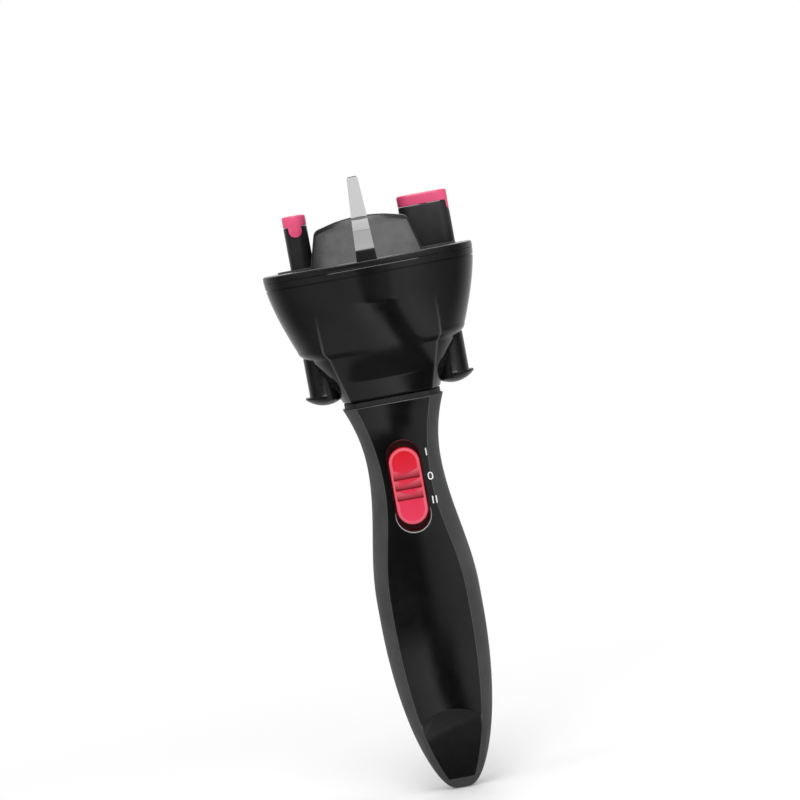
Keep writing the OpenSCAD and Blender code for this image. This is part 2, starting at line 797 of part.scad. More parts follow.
function head_section(z, inset) =
    let (u = upto(z, head_z, rim_z),
         flat = 1 - pow(upto(z, head_z + 8, head_z + 40), 1.2),
         e = 2 + 0.4 * u,
         share = 0.84 - 0.22 * upto(z, head_z, head_z + 36),
         tr = asin(pow(share, e / 2)))
    [head_w(z) - inset,
     neck_front + (rim_d - neck_front) * u - inset * (1 + (1 / cos(tr) - 1) * flat),
     rim_d - (rim_d - neck_back) * pow(1 - u, 1.6) - inset,
     e, tr, panel_crown, flat];

function head_ring(z, inset) = let (s = head_section(z, inset)) ring(s, full_angles(s[4]), z);

groove_d = 0.5;
cup_steps = [for (h = [0, 5, 10, 15, shoulder_h, shoulder_h + 0.8, shoulder_h + 2.4,
    shoulder_h + 4.6, 29, 34.5, 40, 45.5, cup_h - 3.4]) [h, 0]];
rim_steps = [[cup_h - 3.2, groove_d], [cup_h - 2.9, 0], [cup_h, 0]];

module cup_cavity() {
    difference() {
        loft([for (h = [floor_t, 9, 15, 22, 28, 36, 45, cup_h + 0.5])
            let (z = head_z + h) [for (p = head_ring(min(z, rim_z), wall)) [p[0], p[1], z]]]);
        for (s = [-1, 1]) translate([s * arm_x, 0, head_z])
            cylinder(r = guide_r, h = guide_top - head_z, $fn = round_fn);
        for (p = post_places) translate([p[0], p[1], head_z])
            cylinder(r = post_r, h = carrier_z - head_z, $fn = round_fn);
    }
}

module head_cup() {
    color(black) difference() {
        loft([for (s = concat(cup_steps, rim_steps)) head_ring(head_z + s[0], s[1])]);
        cup_cavity();
        for (s = [-1, 1]) translate([s * arm_x, 0, head_z - over])
            cylinder(r = cup_bore_r, h = guide_top - head_z + 2 * over, $fn = round_fn);
        translate([0, 0, head_z - over])
            cylinder(r = hub_r + rest_gap, h = floor_t + 2 * over, $fn = round_fn);
        for (a = [90, 210, 330]) rotate([0, 0, a]) translate([11.4, 0, head_z + 0.8])
            cylinder(r = screw_r, h = 10, $fn = round_fn);
        for (p = post_places) translate([p[0], p[1], carrier_z - 8])
            cylinder(r = screw_r, h = 10, $fn = round_fn);
    }
}

// Outline of the dome seen from the front, drawn in from its outside by an inset
module dome_front(inset) {
    foot = dome_foot_w - inset;
    top = dome_top_w - inset;
    foot_z = rim_z - (inset > 0 ? over : -over);
    arch = [for (x = [1, 0.6, 0.3, 0, -0.3, -0.6, -1])
        [top * x, dome_z - inset - dome_drop * x * x, abs(x) == 1 ? 3.5 : 0]];
    translate([0, 40, 0]) rotate([90, 0, 0]) linear_extrude(80)
        polygon(rounded(concat([[-foot, foot_z, 0], [foot, foot_z, 0]], arch)));
}

function dome_depth(z, inset) =
    rim_d - 0.3 - inset - dome_lean * pow(upto(z, rim_z, dome_z), 1.6)
    - 2.2 * pow(upto(z, dome_z - inset - 3, dome_z - inset), 2);

module dome_form(inset) {
    foot = rim_z - (inset > 0 ? over : -over);
    top = dome_z - inset;
    intersection() {
        dome_front(inset);
        loft([for (z = [foot, rim_z + 5, rim_z + 10, top - 3, top - 1.8, top - 0.8, top])
            let (s = [rim_w, dome_depth(z, inset), dome_depth(z, inset), 2.4, 40, 0, 0])
            ring(s, full_angles(40), z)]);
    }
}

module head_top_cover() {
    edge = 0.9;
    color(black) difference() {
        union() {
            loft([for (s = [[0, 0], [cover_t - edge, 0], [cover_t - 0.35, 0.35], [cover_t, edge + 0.2]])
                let (r = head_section(rim_z, s[1])) ring(r, full_angles(r[4]), rim_z + s[0])]);
            dome_form(0);
            for (s = [-1, 1]) translate([s * arm_x, 0, boss_z])
                cylinder(r = boss_r, h = rim_z - boss_z + over, $fn = round_fn);
        }
        difference() {
            dome_form(wall);
            for (s = [-1, 1]) translate([s * arm_x, 0, rim_z - 2 * over])
                cylinder(r = sweep_r + wall, h = 40, $fn = round_fn);
        }
        for (s = [-1, 1]) translate([s * arm_x, 0, 0]) {
            translate([0, 0, cover_z]) cylinder(r = sweep_r, h = 40, $fn = round_fn);
            translate([0, 0, turntable_z - rest_gap])
                cylinder(r = recess_r, h = 10, $fn = round_fn);
            translate([0, 0, boss_z - over])
                cylinder(r = spindle_r + run, h = 20, $fn = round_fn);
        }
    }
}

// The blade that parts the two strands: a saddle over the dome with a tapering ridge
module divider_fin() {
    depth_foot = dome_depth(rim_z, 0) + fin_proud;
    depth_dome = dome_depth(dome_z - 3, 0) + fin_proud;
    color(black) difference() {
        intersection() {
            translate([0, 40, 0]) rotate([90, 0, 0]) linear_extrude(80)
                polygon(rounded([[-fin_foot_w / 2, cover_z, 0], [fin_foot_w / 2, cover_z, 0],
                                 [fin_mid_w / 2, dome_z, 0], [fin_top_w / 2, fin_z, 1.4],
                                 [-fin_top_w / 2, fin_z, 1.4], [-fin_mid_w / 2, dome_z, 0]]));
            rotate([90, 0, 90]) translate([0, 0, -10]) linear_extrude(20)
                polygon(rounded([[-depth_foot, cover_z, 0], [depth_foot, cover_z, 0],
                                 [depth_dome, dome_z - 3, 8], [4.5, fin_z, 2],
                                 [-4.5, fin_z, 2], [-depth_dome, dome_z - 3, 8]]));
        }
        dome_form(0);
    }
}

module gear_carrier() {
    color(nylon) difference() {
        loft([for (h = [0, carrier_t])
            let (z = carrier_z + rest_gap + h, s = head_section(carrier_z, wall + gap))
            ring(s, full_angles(s[4]), z)]);
        for (s = [-1, 1]) translate([s * arm_x, 0, carrier_z - over])
            cylinder(r = spindle_r + run, h = 10, $fn = round_fn);
        translate([0, 0, carrier_z - over]) cylinder(r = sun_r + run, h = 10, $fn = round_fn);
        for (p = post_places) translate([p[0], p[1], carrier_z - over])
            cylinder(r = screw_r + rest_gap, h = 10, $fn = round_fn);
    }
}

module head_screws() {
    color(steel) {
        for (p = post_places)
            translate([p[0], p[1], carrier_z + carrier_t + rest_gap]) screw(9);
        for (a = [90, 210, 330]) rotate([0, 0, a])
            translate([11.4, 0, head_z + floor_t + 2]) screw(3.5);
    }
}

head_play = 0.2;

module sun_gear() {
    color(nylon) translate([0, 0, gear_z])
        gear(sun_teeth, head_mod, head_play, 0, head_face, sun_r);
}

module sun_shaft() {
    color(steel) translate([0, 0, link_z])
        cylinder(r = sun_r, h = gear_z + head_face - link_z, $fn = round_fn);
}

// ---------- arms ----------

module at_arm(side) {
    translate([side * arm_x, 0, 0]) rotate([0, 0, side > 0 ? right_rest : left_rest])
        children();
}

module bar(length, width, height) {
    linear_extrude(height) rotate([0, 0, 90]) stadium(length, width);
}

// The U of the hook's leg, at the outer end of the bar
module leg_form(width, depth, foot, top) {
    intersection() {
        translate([0, 0, foot]) bar(arm_len, arm_w, top - foot);
        union() {
            translate([arm_len / 2 - depth, 0, foot + width / 2]) rotate([0, 90, 0])
                cylinder(d = width, h = depth + over, $fn = round_fn);
            translate([arm_len / 2 - depth, -width / 2, foot + width / 2])
                cube([depth + over, width, top - foot]);
        }
    }
}

module arm(side) {
    pocket_gap = 0.3;
    color(black) at_arm(side) difference() {
        translate([0, 0, arm_z]) bar(arm_len, arm_w, arm_h);
        translate([0, 0, arm_z - over])
            cylinder(r = rod_r + run, h = arm_h + 2 * over, $fn = round_fn);
        translate([arm_len / 2 - leg_d - pocket_gap, -leg_w / 2 - pocket_gap,
                   arm_top - leg_drop + leg_w / 2 - pocket_gap])
            cube([leg_d + over, leg_w + 2 * pocket_gap, leg_drop + over]);
        translate([arm_len / 2 - leg_d - pocket_gap, 0,
                   arm_top - leg_drop + leg_w / 2 - pocket_gap])
            rotate([0, 90, 0])
                cylinder(d = leg_w + 2 * pocket_gap, h = leg_d + over, $fn = round_fn);
    }
}

module turntable(side) {
    color(satin_black) at_arm(side) difference() {
        union() {
            translate([0, 0, turntable_z]) cylinder(r = turntable_r, h = turntable_t, $fn = round_fn);
            translate([0, 0, carrier_z])
                cylinder(r = spindle_r, h = turntable_z - carrier_z + over, $fn = round_fn);
        }
        translate([0, 0, carrier_z - over])
            cylinder(r = rod_r + run, h = 40, $fn = round_fn);
    }
}

module arm_gear(side) {
    color(nylon) translate([side * arm_x, 0, gear_z])
        gear(arm_teeth, head_mod, head_play, 180 / arm_teeth, head_face, spindle_r);
}

hook_z = arm_top + rest_gap;
rod_top = hook_z + hook_t - 1;

module hook(side) {
    crown = 0.7;
    color(pink) at_arm(side) difference() {
        union() {
            translate([0, 0, hook_z]) bar(arm_len, arm_w, hook_t - crown);
            hull() {
                translate([0, 0, hook_z + hook_t - crown - 0.1]) bar(arm_len, arm_w, 0.1);
                translate([0, 0, hook_z + hook_t - 0.1]) bar(arm_len - 3, arm_w - 3, 0.1);
            }
            leg_form(leg_w, leg_d, arm_top - leg_drop, hook_z + 0.5);
        }
        translate([0, 0, hook_z - over])
            cylinder(r = rod_r, h = rod_top - hook_z + over, $fn = round_fn);
    }
}

module lift_rod(side) {
    color(steel) at_arm(side) translate([0, 0, collar_z])
        cylinder(r = rod_r, h = rod_top - collar_z, $fn = round_fn);
}

module rod_collar(side) {
    color(brass) at_arm(side) translate([0, 0, collar_z]) difference() {
        cylinder(r = collar_r, h = collar_t, $fn = round_fn);
        translate([0, 0, -over]) cylinder(r = rod_r, h = collar_t + 2 * over, $fn = round_fn);
    }
}

module return_spring(side) {
    foot = collar_z + collar_t + wire_r + rest_gap;
    top = carrier_z - wire_r - rest_gap;
    steps = spring_turns * 8;
    color(steel) at_arm(side) loft([for (i = [0:steps])
        let (a = 45 * i, z = foot + (top - foot) * i / steps)
        [for (k = [0:5])
            let (r = spring_r + wire_r * sin(60 * k))
            [r * cos(a), r * sin(a), z + wire_r * cos(60 * k)]]]);
}

// A sleeve with a round thumb face and a lip that is cut back on its inner side
module push_button(side) {
    foot = button_top - button_h;
    face_r = (lip_r * lip_r + thumb_rise * thumb_rise) / (2 * thumb_rise);
    arc = [for (i = [0:6]) let (r = lip_r * i / 6) [r, face_r - sqrt(face_r * face_r - r * r)]];
    lip_edge = thumb_rise + 0.8;
    cup_r = sleeve_r - button_wall;
    color(black) translate([side * arm_x, 0, foot]) rotate([0, 0, side > 0 ? 0 : 180])
        difference() {
            rotate_extrude($fn = round_fn)
                polygon(concat(arc, [[lip_r, lip_edge], [sleeve_r + 0.4, lip_edge - 0.5],
                                     [sleeve_r, lip_edge], [sleeve_r, button_h],
                                     [0, button_h]]));
            translate([0, 0, collar_z - foot - rest_gap])
                cylinder(r = cup_r, h = button_h, $fn = round_fn);
            difference() {
                translate([-lip_r - over, -lip_r - over, -over])
                    cube([lip_r + over - 0.5, 2 * (lip_r + over), lip_edge + 2 * over]);
                translate([0, 0, -2 * over])
                    cylinder(r = sleeve_r, h = lip_edge + 4 * over, $fn = round_fn);
            }
        }
}

module left_arm() { arm(-1); }
module left_turntable() { turntable(-1); }
module left_arm_gear() { arm_gear(-1); }
module left_hook() { hook(-1); }
module left_lift_rod() { lift_rod(-1); }
module left_rod_collar() { rod_collar(-1); }
module left_return_spring() { return_spring(-1); }
module left_push_button() { push_button(-1); }
module right_arm() { arm(1); }
module right_turntable() { turntable(1); }
module right_arm_gear() { arm_gear(1); }
module right_hook() { hook(1); }
module right_lift_rod() { lift_rod(1); }
module right_rod_collar() { rod_collar(1); }
module right_return_spring() { return_spring(1); }
module right_push_button() { push_button(1); }

handle_front_cover();
handle_body();
battery_door();
battery_tray();
batteries();
battery_contacts();
switch_bezel();
switch_knob();
slide_switch();
motor();
motor_shaft();
motor_pinion();
first_gear();
second_gear();
third_gear();
output_gear();
output_shaft();
gear_axle();
lower_gear_plate();
upper_gear_plate();
neck_bearing();
thrust_washer();
shell_screws();
head_hub();
hub_retaining_ring();
head_cup();
head_top_cover();
divider_fin();
gear_carrier();
head_screws();
sun_gear();
sun_shaft();
left_arm();
left_turntable();
left_arm_gear();
left_hook();
left_lift_rod();
left_rod_collar();
left_return_spring();
left_push_button();
right_arm();
right_turntable();
right_arm_gear();
right_hook();
right_lift_rod();
right_rod_collar();
right_return_spring();
right_push_button();
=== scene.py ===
from math import acos, asin, atan2, copysign, cos, exp, hypot, pi, sin, sqrt

import bmesh
import bpy
import numpy as np
from mathutils import Matrix, Vector


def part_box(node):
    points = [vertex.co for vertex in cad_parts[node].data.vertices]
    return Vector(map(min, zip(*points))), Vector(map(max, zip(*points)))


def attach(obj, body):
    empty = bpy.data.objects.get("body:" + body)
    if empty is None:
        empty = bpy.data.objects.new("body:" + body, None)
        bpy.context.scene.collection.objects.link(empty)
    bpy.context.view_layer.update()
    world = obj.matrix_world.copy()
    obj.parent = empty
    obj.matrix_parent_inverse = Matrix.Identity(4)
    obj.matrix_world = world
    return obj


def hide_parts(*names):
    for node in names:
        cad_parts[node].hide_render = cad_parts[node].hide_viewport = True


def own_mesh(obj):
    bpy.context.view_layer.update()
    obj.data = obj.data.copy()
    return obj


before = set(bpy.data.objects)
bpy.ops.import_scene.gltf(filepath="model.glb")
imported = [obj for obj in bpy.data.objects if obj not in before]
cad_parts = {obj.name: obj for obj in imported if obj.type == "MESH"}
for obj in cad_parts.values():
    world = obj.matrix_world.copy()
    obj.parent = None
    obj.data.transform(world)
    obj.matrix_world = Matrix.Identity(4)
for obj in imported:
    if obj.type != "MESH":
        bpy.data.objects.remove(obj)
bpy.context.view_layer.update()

mm = 0.001
deg = pi / 180


# ---- small mesh helpers, all lengths in millimetres ----

def addObject(name, data):
    thing = bpy.data.objects.new(name, data)
    bpy.context.scene.collection.objects.link(thing)
    return thing


def newPiece(name, points, faces):
    mesh = bpy.data.meshes.new(name)
    mesh.from_pydata([tuple(p) for p in np.asarray(points, float) * mm], [], faces)
    piece = addObject(name, mesh)
    work = bmesh.new()
    work.from_mesh(mesh)
    bmesh.ops.recalc_face_normals(work, faces=work.faces)
    work.to_mesh(mesh)
    work.free()
    return piece


def loft(name, rings):
    count, last = len(rings[0]), (len(rings) - 1) * len(rings[0])
    faces = [[i * count + j, i * count + (j + 1) % count,
              (i + 1) * count + (j + 1) % count, (i + 1) * count + j]
             for i in range(len(rings) - 1) for j in range(count)]
    faces += [list(range(count - 1, -1, -1)), list(range(last, last + count))]
    return newPiece(name, np.concatenate(rings), faces)


def settle(piece):
    # applies the piece's modifiers
    graph = bpy.context.evaluated_depsgraph_get()
    mesh = bpy.data.meshes.new_from_object(piece.evaluated_get(graph))
    old = piece.data
    piece.modifiers.clear()
    piece.data = mesh
    bpy.data.meshes.remove(old)


def combine(piece, tool, way="DIFFERENCE"):
    step = piece.modifiers.new("combine", "BOOLEAN")
    step.operation, step.object, step.solver = way, tool, "EXACT"
    settle(piece)
    bpy.data.objects.remove(tool)
    return piece


def softenEdges(piece, width, angle=30, segments=3, where=None):
    work = bmesh.new()
    work.from_mesh(piece.data)
    bmesh.ops.remove_doubles(work, verts=work.verts, dist=1e-7)
    edges = [e for e in work.edges if e.is_manifold and e.calc_face_angle(0) > angle * deg
             and (where is None or where(e))]
    bmesh.ops.bevel(work, geom=edges, offset=width * mm, segments=segments, profile=0.5,
                    affect="EDGES", clamp_overlap=True, harden_normals=False)
    work.to_mesh(piece.data)
    work.free()


def finished(piece, body, slot, finish, *nodes, angle=25, flatFaces=False):
    piece.data.polygons.foreach_set("use_smooth", [True] * len(piece.data.polygons))
    piece.data.set_sharp_from_angle(angle=angle * deg)
    if flatFaces:
        # big flat faces keep their own normals beside the rounded edges
        piece.modifiers.new("weighted", "WEIGHTED_NORMAL").keep_sharp = True
        settle(piece)
    piece.data.materials.clear()
    piece.data.materials.append(finishes[finish])
    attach(piece, body)
    if nodes:
        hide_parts(*nodes)


def pointMarks(piece, *names):
    # places of the points in millimetres, each with its value in every named attribute
    for name in names:
        piece.data.attributes.new(name, "FLOAT", "POINT")
    values = [piece.data.attributes[name].data for name in names]
    return zip([point.co / mm for point in piece.data.vertices], *values)


def circle(radius, count=96):
    t = np.arange(count) * 2 * pi / count
    return np.stack([radius * np.cos(t), radius * np.sin(t)], 1)


def pill(length, width, count=24):
    # long side along the second axis
    t = np.linspace(0, pi, count)
    cap = np.stack([np.cos(t), np.sin(t)], 1) * width / 2
    shift = [0, (length - width) / 2]
    return np.concatenate([cap + shift, -cap - shift])


def atHeight(outline, z, x=0, y=0):
    return np.column_stack([outline[:, 0] + x, outline[:, 1] + y, np.full(len(outline), z)])


def facingFront(outline, y, x=0, z=0):
    return np.column_stack([outline[:, 0] + x, np.full(len(outline), y), outline[:, 1] + z])


def rod(radius, z0, z1, x=0, y=0, count=96):
    return loft("rod", [atHeight(circle(radius, count), z, x, y) for z in (z0, z1)])


def block(low, high):
    (x0, y0, z0), (x1, y1, z1) = low, high
    outline = np.array([(x0, y0), (x1, y0), (x1, y1), (x0, y1)], float)
    return loft("block", [atHeight(outline, z0), atHeight(outline, z1)])


def roundedOutline(corners, steps=8):
    points = []
    for i, (*_, r) in enumerate(corners):
        p, a, b = (np.array(corners[k % len(corners)][:2], float) for k in (i, i - 1, i + 1))
        if r == 0:
            points.append(p)
            continue
        pa, pb = ((q - p) / np.linalg.norm(q - p) for q in (a, b))
        half = acos(np.clip(pa @ pb, -1, 1)) / 2
        mid = (pa + pb) / np.linalg.norm(pa + pb)
        centre = p + mid * r / sin(half)
        start = atan2(-mid[1], -mid[0])
        turn = copysign(1, pa[0] * pb[1] - pa[1] * pb[0])
        for k in range(steps + 1):
            t = start + turn * (pi / 2 - half) * (1 - 2 * k / steps)
            points.append(centre + r * np.array([cos(t), sin(t)]))
    return np.array(points)


def upto(z, low, high):
    # share of the way from low to high, from 0 to 1
    return min(1, max(0, (z - low) / (high - low)))


def rounding(radius, first=0, last=pi / 2):
    # (height, inset) pairs along a rounded edge, from its end to its side
    return [(radius * (1 - cos(a)), radius * (1 - sin(a))) for a in np.linspace(first, last, 6)]


def shiftTo(side):
    # from the middle to the axis of one arm
    return Matrix.Translation(Vector(((1 if side == "right" else -1) * head["armX"] * mm, 0, 0)))


def bend(a, control, b):
    # five points between a and b on a curve that the control point pulls out
    t = np.linspace(0, 1, 7)[1:-1, None]
    return (1 - t) ** 2 * a + 2 * t * (1 - t) * control + t ** 2 * b


# ---- materials ----

def link(source, target):
    target.id_data.links.new(source, target)


def setInputs(node, values):
    for key, value in values.items():
        node.inputs[key].default_value = value


def startMaterial(name, **values):
    material = bpy.data.materials.new(name)
    material.use_nodes = True
    shader = material.node_tree.nodes["Principled BSDF"]
    setInputs(shader, {key.replace("_", " "): value for key, value in values.items()})
    return material, material.node_tree, shader


def addNoise(tree, scale, detail=3, stretch=None):
    place = tree.nodes.new("ShaderNodeTexCoord")
    noise = tree.nodes.new("ShaderNodeTexNoise")
    setInputs(noise, {"Scale": scale, "Detail": detail})
    source = place.outputs["Object"]
    if stretch:
        mapping = tree.nodes.new("ShaderNodeMapping")
        mapping.inputs["Scale"].default_value = stretch
        link(source, mapping.inputs["Vector"])
        source = mapping.outputs["Vector"]
    link(source, noise.inputs["Vector"])
    return noise.outputs["Fac"]


def addRange(tree, source, low, high, fromLow=0.3, fromHigh=0.7):
    spread = tree.nodes.new("ShaderNodeMapRange")
    setInputs(spread, {"From Min": fromLow, "From Max": fromHigh, "To Min": low, "To Max": high})
    link(source, spread.inputs["Value"])
    return spread.outputs["Result"]


def addRamp(tree, source, stops):
    # colours along a ramp, from (place, colour) pairs
    ramp = tree.nodes.new("ShaderNodeValToRGB")
    ends = ramp.color_ramp.elements
    while len(ends) < len(stops):
        ends.new(0.5)
    for stop, (place, colour) in zip(ends, stops):
        stop.position = place
    for stop, (place, colour) in zip(ends, stops):
        stop.color = (*colour, 1)
    link(source, ramp.inputs["Fac"])
    return ramp.outputs["Color"]


def addColours(tree, source, first, second, at=(0.35, 0.65)):
    return addRamp(tree, source, list(zip(at, (first, second))))


def addTones(tree, source, stops):
    return addRamp(tree, source, [(place, [tone] * 3) for place, tone in stops])


def mixedColour(tree, share, first, second):
    blend = tree.nodes.new("ShaderNodeMix")
    blend.data_type = "RGBA"
    link(share, blend.inputs["Factor"])
    colours = [socket for socket in blend.inputs if socket.type == "RGBA"]
    link(first, colours[0])
    colours[1].default_value = (*second, 1)
    return next(socket for socket in blend.outputs if socket.type == "RGBA")


# mixes in a colour where a point attribute marks painted highlight or painted shade
def paintedLightBy(tree, attribute, base, colour):
    mark = tree.nodes.new("ShaderNodeAttribute")
    mark.attribute_name = attribute
    return mixedColour(tree, mark.outputs["Fac"], base, colour)


def addBump(tree, shader, source, height):
    bump = tree.nodes.new("ShaderNodeBump")
    setInputs(bump, {"Distance": height * mm, "Strength": 1})
    link(source, bump.inputs["Height"])
    link(bump.outputs["Normal"], shader.inputs["Normal"])


def mouldedPlastic(name, dark, light, rough, grain, grainHeight, specular=0.4, highlight=None,
                   **values):
    # cloudy colour, handling marks in the gloss, the grain of the mould, and a painted highlight
    # where points are marked
    material, tree, shader = startMaterial(name, Specular_IOR_Level=specular, **values)
    colour = addColours(tree, addNoise(tree, 60, 4), dark, light)
    if highlight:
        colour = paintedLightBy(tree, "paintedHighlight", colour, highlight)
    link(colour, shader.inputs["Base Color"])
    link(addRange(tree, addNoise(tree, 220, 6), *rough), shader.inputs["Roughness"])
    addBump(tree, shader, addNoise(tree, grain, 2), grainHeight)
    return material


# the extra colour of the gloss plastics is a painted highlight, mixed in where points are marked
plastics = {
    # two colours, range of roughness, scale and height of the grain, specular level, the rest
    "glossShell": ((0.0030, 0.0030, 0.0033), (0.0050, 0.0050, 0.0054),
        (0.09, 0.16), 900, 0.004, 0.5, {"highlight": (0.16, 0.16, 0.165)}),
    # a light grey that paints the highlight on the recess's lower lip
    "paintedLipHighlight": ((0.22, 0.22, 0.225), (0.38, 0.38, 0.385),
        (0.15, 0.25), 900, 0.003, 0.5, {}),
    "glossHead": ((0.0045, 0.0045, 0.0048), (0.0075, 0.0075, 0.0079),
        (0.20, 0.30), 1500, 0.006, 0.5, {"highlight": (0.14, 0.14, 0.145)}),
    "glossCup": ((0.0045, 0.0045, 0.0048), (0.0075, 0.0075, 0.0079),
        (0.07, 0.12), 1500, 0.005, 0.5, {"highlight": (0.06, 0.06, 0.062)}),
    "glossFin": ((0.0060, 0.0060, 0.0063), (0.0100, 0.0100, 0.0104),
        (0.12, 0.18), 1500, 0.003, 0.9, {"Coat_Weight": 1.0, "Coat_Roughness": 0.06}),
    "satinShell": ((0.048, 0.0485, 0.049), (0.062, 0.0625, 0.063),
        (0.42, 0.52), 3200, 0.012, 0.12, {}),
    "armBlack": ((0.014, 0.014, 0.0145), (0.024, 0.024, 0.025),
        (0.28, 0.38), 2400, 0.008, 0.4, {}),
    "hookPink": ((0.70, 0.070, 0.175), (0.76, 0.090, 0.205),
        (0.30, 0.40), 2600, 0.008, 0.45, {}),
    "bezelRed": ((0.032, 0.0006, 0.0010), (0.050, 0.0010, 0.0016),
        (0.22, 0.32), 1200, 0.004, 0.35, {}),
    "innerBlack": ((0.012, 0.012, 0.013), (0.022, 0.022, 0.023),
        (0.45, 0.60), 1800, 0.015, 0.4, {}),
    "nylon": ((0.70, 0.67, 0.58), (0.80, 0.77, 0.69),
        (0.38, 0.50), 1500, 0.010, 0.45, {}),
    "markWhite": ((0.76, 0.76, 0.76), (0.86, 0.86, 0.86),
        (0.45, 0.60), 4000, 0.006, 0.4, {}),
    "cellSleeve": ((0.05, 0.16, 0.10), (0.07, 0.20, 0.13),
        (0.25, 0.35), 900, 0.004, 0.5, {}),
}
finishes = {name: mouldedPlastic(name, *values, **rest)
            for name, (*values, rest) in plastics.items()}


def knobPlastic():
    # the colour runs from red at the upper end to a pinker red at the lower end
    material, tree, shader = startMaterial("knobRed", Specular_IOR_Level=0.25)
    place = tree.nodes.new("ShaderNodeTexCoord")
    split = tree.nodes.new("ShaderNodeSeparateXYZ")
    link(place.outputs["Object"], split.inputs["Vector"])
    height = addRange(tree, split.outputs["Z"], 0, 1, 0.114, 0.146)
    colour = addColours(tree, height, (0.70, 0.040, 0.100), (0.60, 0.002, 0.011), (0, 1))
    # a painted highlight along the knob's rounded rim
    colour = paintedLightBy(tree, "paintedHighlight", colour, (0.74, 0.13, 0.18))
    # painted shade on the downward slopes of the grip steps
    link(paintedLightBy(tree, "grip", colour, (0.24, 0.002, 0.010)), shader.inputs["Base Color"])
    link(addRange(tree, addNoise(tree, 300, 5), 0.30, 0.42), shader.inputs["Roughness"])
    addBump(tree, shader, addNoise(tree, 2600, 2), 0.008)
    return material


def drawnMetal(name, dark, light, rough):
    material, tree, shader = startMaterial(name, Metallic=1.0)
    lines = addNoise(tree, 900, 4, (1, 1, 0.08))
    link(addColours(tree, lines, dark, light), shader.inputs["Base Color"])
    link(addRange(tree, lines, *rough), shader.inputs["Roughness"])
    addBump(tree, shader, lines, 0.006)
    return material


finishes["knobRed"] = knobPlastic()
finishes["steel"] = drawnMetal("steel", (0.52, 0.52, 0.53), (0.66, 0.66, 0.67), (0.22, 0.36))
finishes["brass"] = drawnMetal("brass", (0.62, 0.46, 0.18), (0.74, 0.57, 0.26), (0.24, 0.38))
print("finishes made:", len(finishes))


# ---- the handle's curves ----

handle = {
    "length": 165.2, "halfWidth": (21.8, 15.5, 21.4), "frontDepth": (20.5, 17, 20),
    "backDepth": (19.5, 15.5, 19), "gripStart": 74, "gripEnd": 82, "waist": 138.5,
    "tipCurve": 75, "wall": 2, "crown": 1.2, "tipSolid": 4, "facetTop": 34.8, "facetTip": 1,
    "edge": 0.45, "rows": 150, "columns": 90, "fuller": (0.15, 4), "highlightWidth": 0.35,
    # the creases' place across the half width, and how they draw together under the waist
    "crease": (0.76, 0.11), "narrowest": (14, 22), "creaseGap": 0.4, "endEdge": 0.6,
    "facetEdge": 0.35,
}


def handleHalf(z, grip, waist, top):
    if z < handle["gripStart"]:
        # an ellipse that is a little fuller at the very tip
        share, reach = handle["fuller"]
        curve = sqrt(1 - ((handle["gripStart"] - z) / handle["tipCurve"]) ** 2)
        return grip * curve * (1 + share * exp(-z / reach))
    if z < handle["gripEnd"]:
        return grip
    if z < handle["waist"]:
        turn = pi * (z - handle["gripEnd"]) / (handle["waist"] - handle["gripEnd"])
        return (grip + waist) / 2 + (grip - waist) / 2 * cos(turn)
    flare = (z - handle["waist"]) / (handle["length"] - handle["waist"])
    return waist + (top - waist) * flare ** 2


def sectionPoints(s, t):
    # a superellipse whose front is flattened between two creases: s holds half width,
    # front depth, back depth, exponent, crease angle, crown and flatness
    width, front, back, power, crease, crown, flat = s
    x = width * np.sign(np.sin(t)) * np.abs(np.sin(t)) ** (2 / power)
    depth = np.where(np.cos(t) > 0, front, back)
    y = -depth * np.sign(np.cos(t)) * np.abs(np.cos(t)) ** (2 / power)
    edgeX = width * sin(crease) ** (2 / power)
    edgeY = -front * cos(crease) ** (2 / power)
    turned = (t + pi) % (2 * pi) - pi
    panel = edgeY - crown * (1 - (x / edgeX) ** 2)
    y = np.where(np.abs(turned) > crease + 1e-9, y, panel * flat + y * (1 - flat))
    return np.stack([x, y], 1)


def fullTurn(crease):
    # angles all round, with a point on each crease
    front = np.linspace(-crease, crease, 80, endpoint=False)
    rear = np.linspace(crease, 2 * pi - crease, 160, endpoint=False)
    return np.concatenate([front, rear])


def handleSection(z, inset=0):
    share, drawn = handle["crease"]
    below, reach = handle["narrowest"]
    crease = asin(share - drawn * exp(-((z - handle["waist"] + below) / reach) ** 2))
    half = handleHalf(z, *handle["halfWidth"])
    return (half - inset, handleHalf(z, *handle["frontDepth"]) - inset / cos(crease),
            handleHalf(z, *handle["backDepth"]) - inset, 2, crease,
            handle["crown"] * half / handle["halfWidth"][0], 1)


lowSection = handleSection(handle["facetTop"])
facetDepth = lowSection[1] * cos(lowSection[4]) + lowSection[5]


def facetY(z):
    return handle["facetTip"] + (facetDepth - handle["facetTip"]) * z / handle["facetTop"]


def onWall(corner, inner, edge):
    # the point on the wall where the rounding of its outer corner ends
    way = inner - corner
    return corner + way * min(0.9, edge / max(0.1, np.linalg.norm(way)))


def shellRing(z, first, last, edge, outerInset=0):
    # a wall between two angles: outside, rounded edge, inside, rounded edge
    count, small = handle["columns"], 1e-3
    s = handleSection(z, outerInset)
    ends = sectionPoints(s, np.array([first, last]))
    near = sectionPoints(s, np.array([first + small, last - small]))
    speed = np.linalg.norm(ends - near, axis=1) / small
    t = np.linspace(first + edge / speed[0], last - edge / speed[1], count)
    outside = sectionPoints(s, t)
    inside = sectionPoints(handleSection(z, handle["wall"]), np.linspace(last, first, count))
    if z < handle["facetTop"] + 4:
        inside[:, 1] = np.maximum(inside[:, 1], -(facetY(z) - handle["wall"]))
    walls = [onWall(ends[1], inside[0], edge), onWall(ends[0], inside[-1], edge)]
    outline = np.concatenate([
        outside, bend(outside[-1], ends[1], walls[0]), [walls[0]],
        inside, [walls[1]], bend(walls[1], ends[0], outside[0])])
    return atHeight(outline, z)


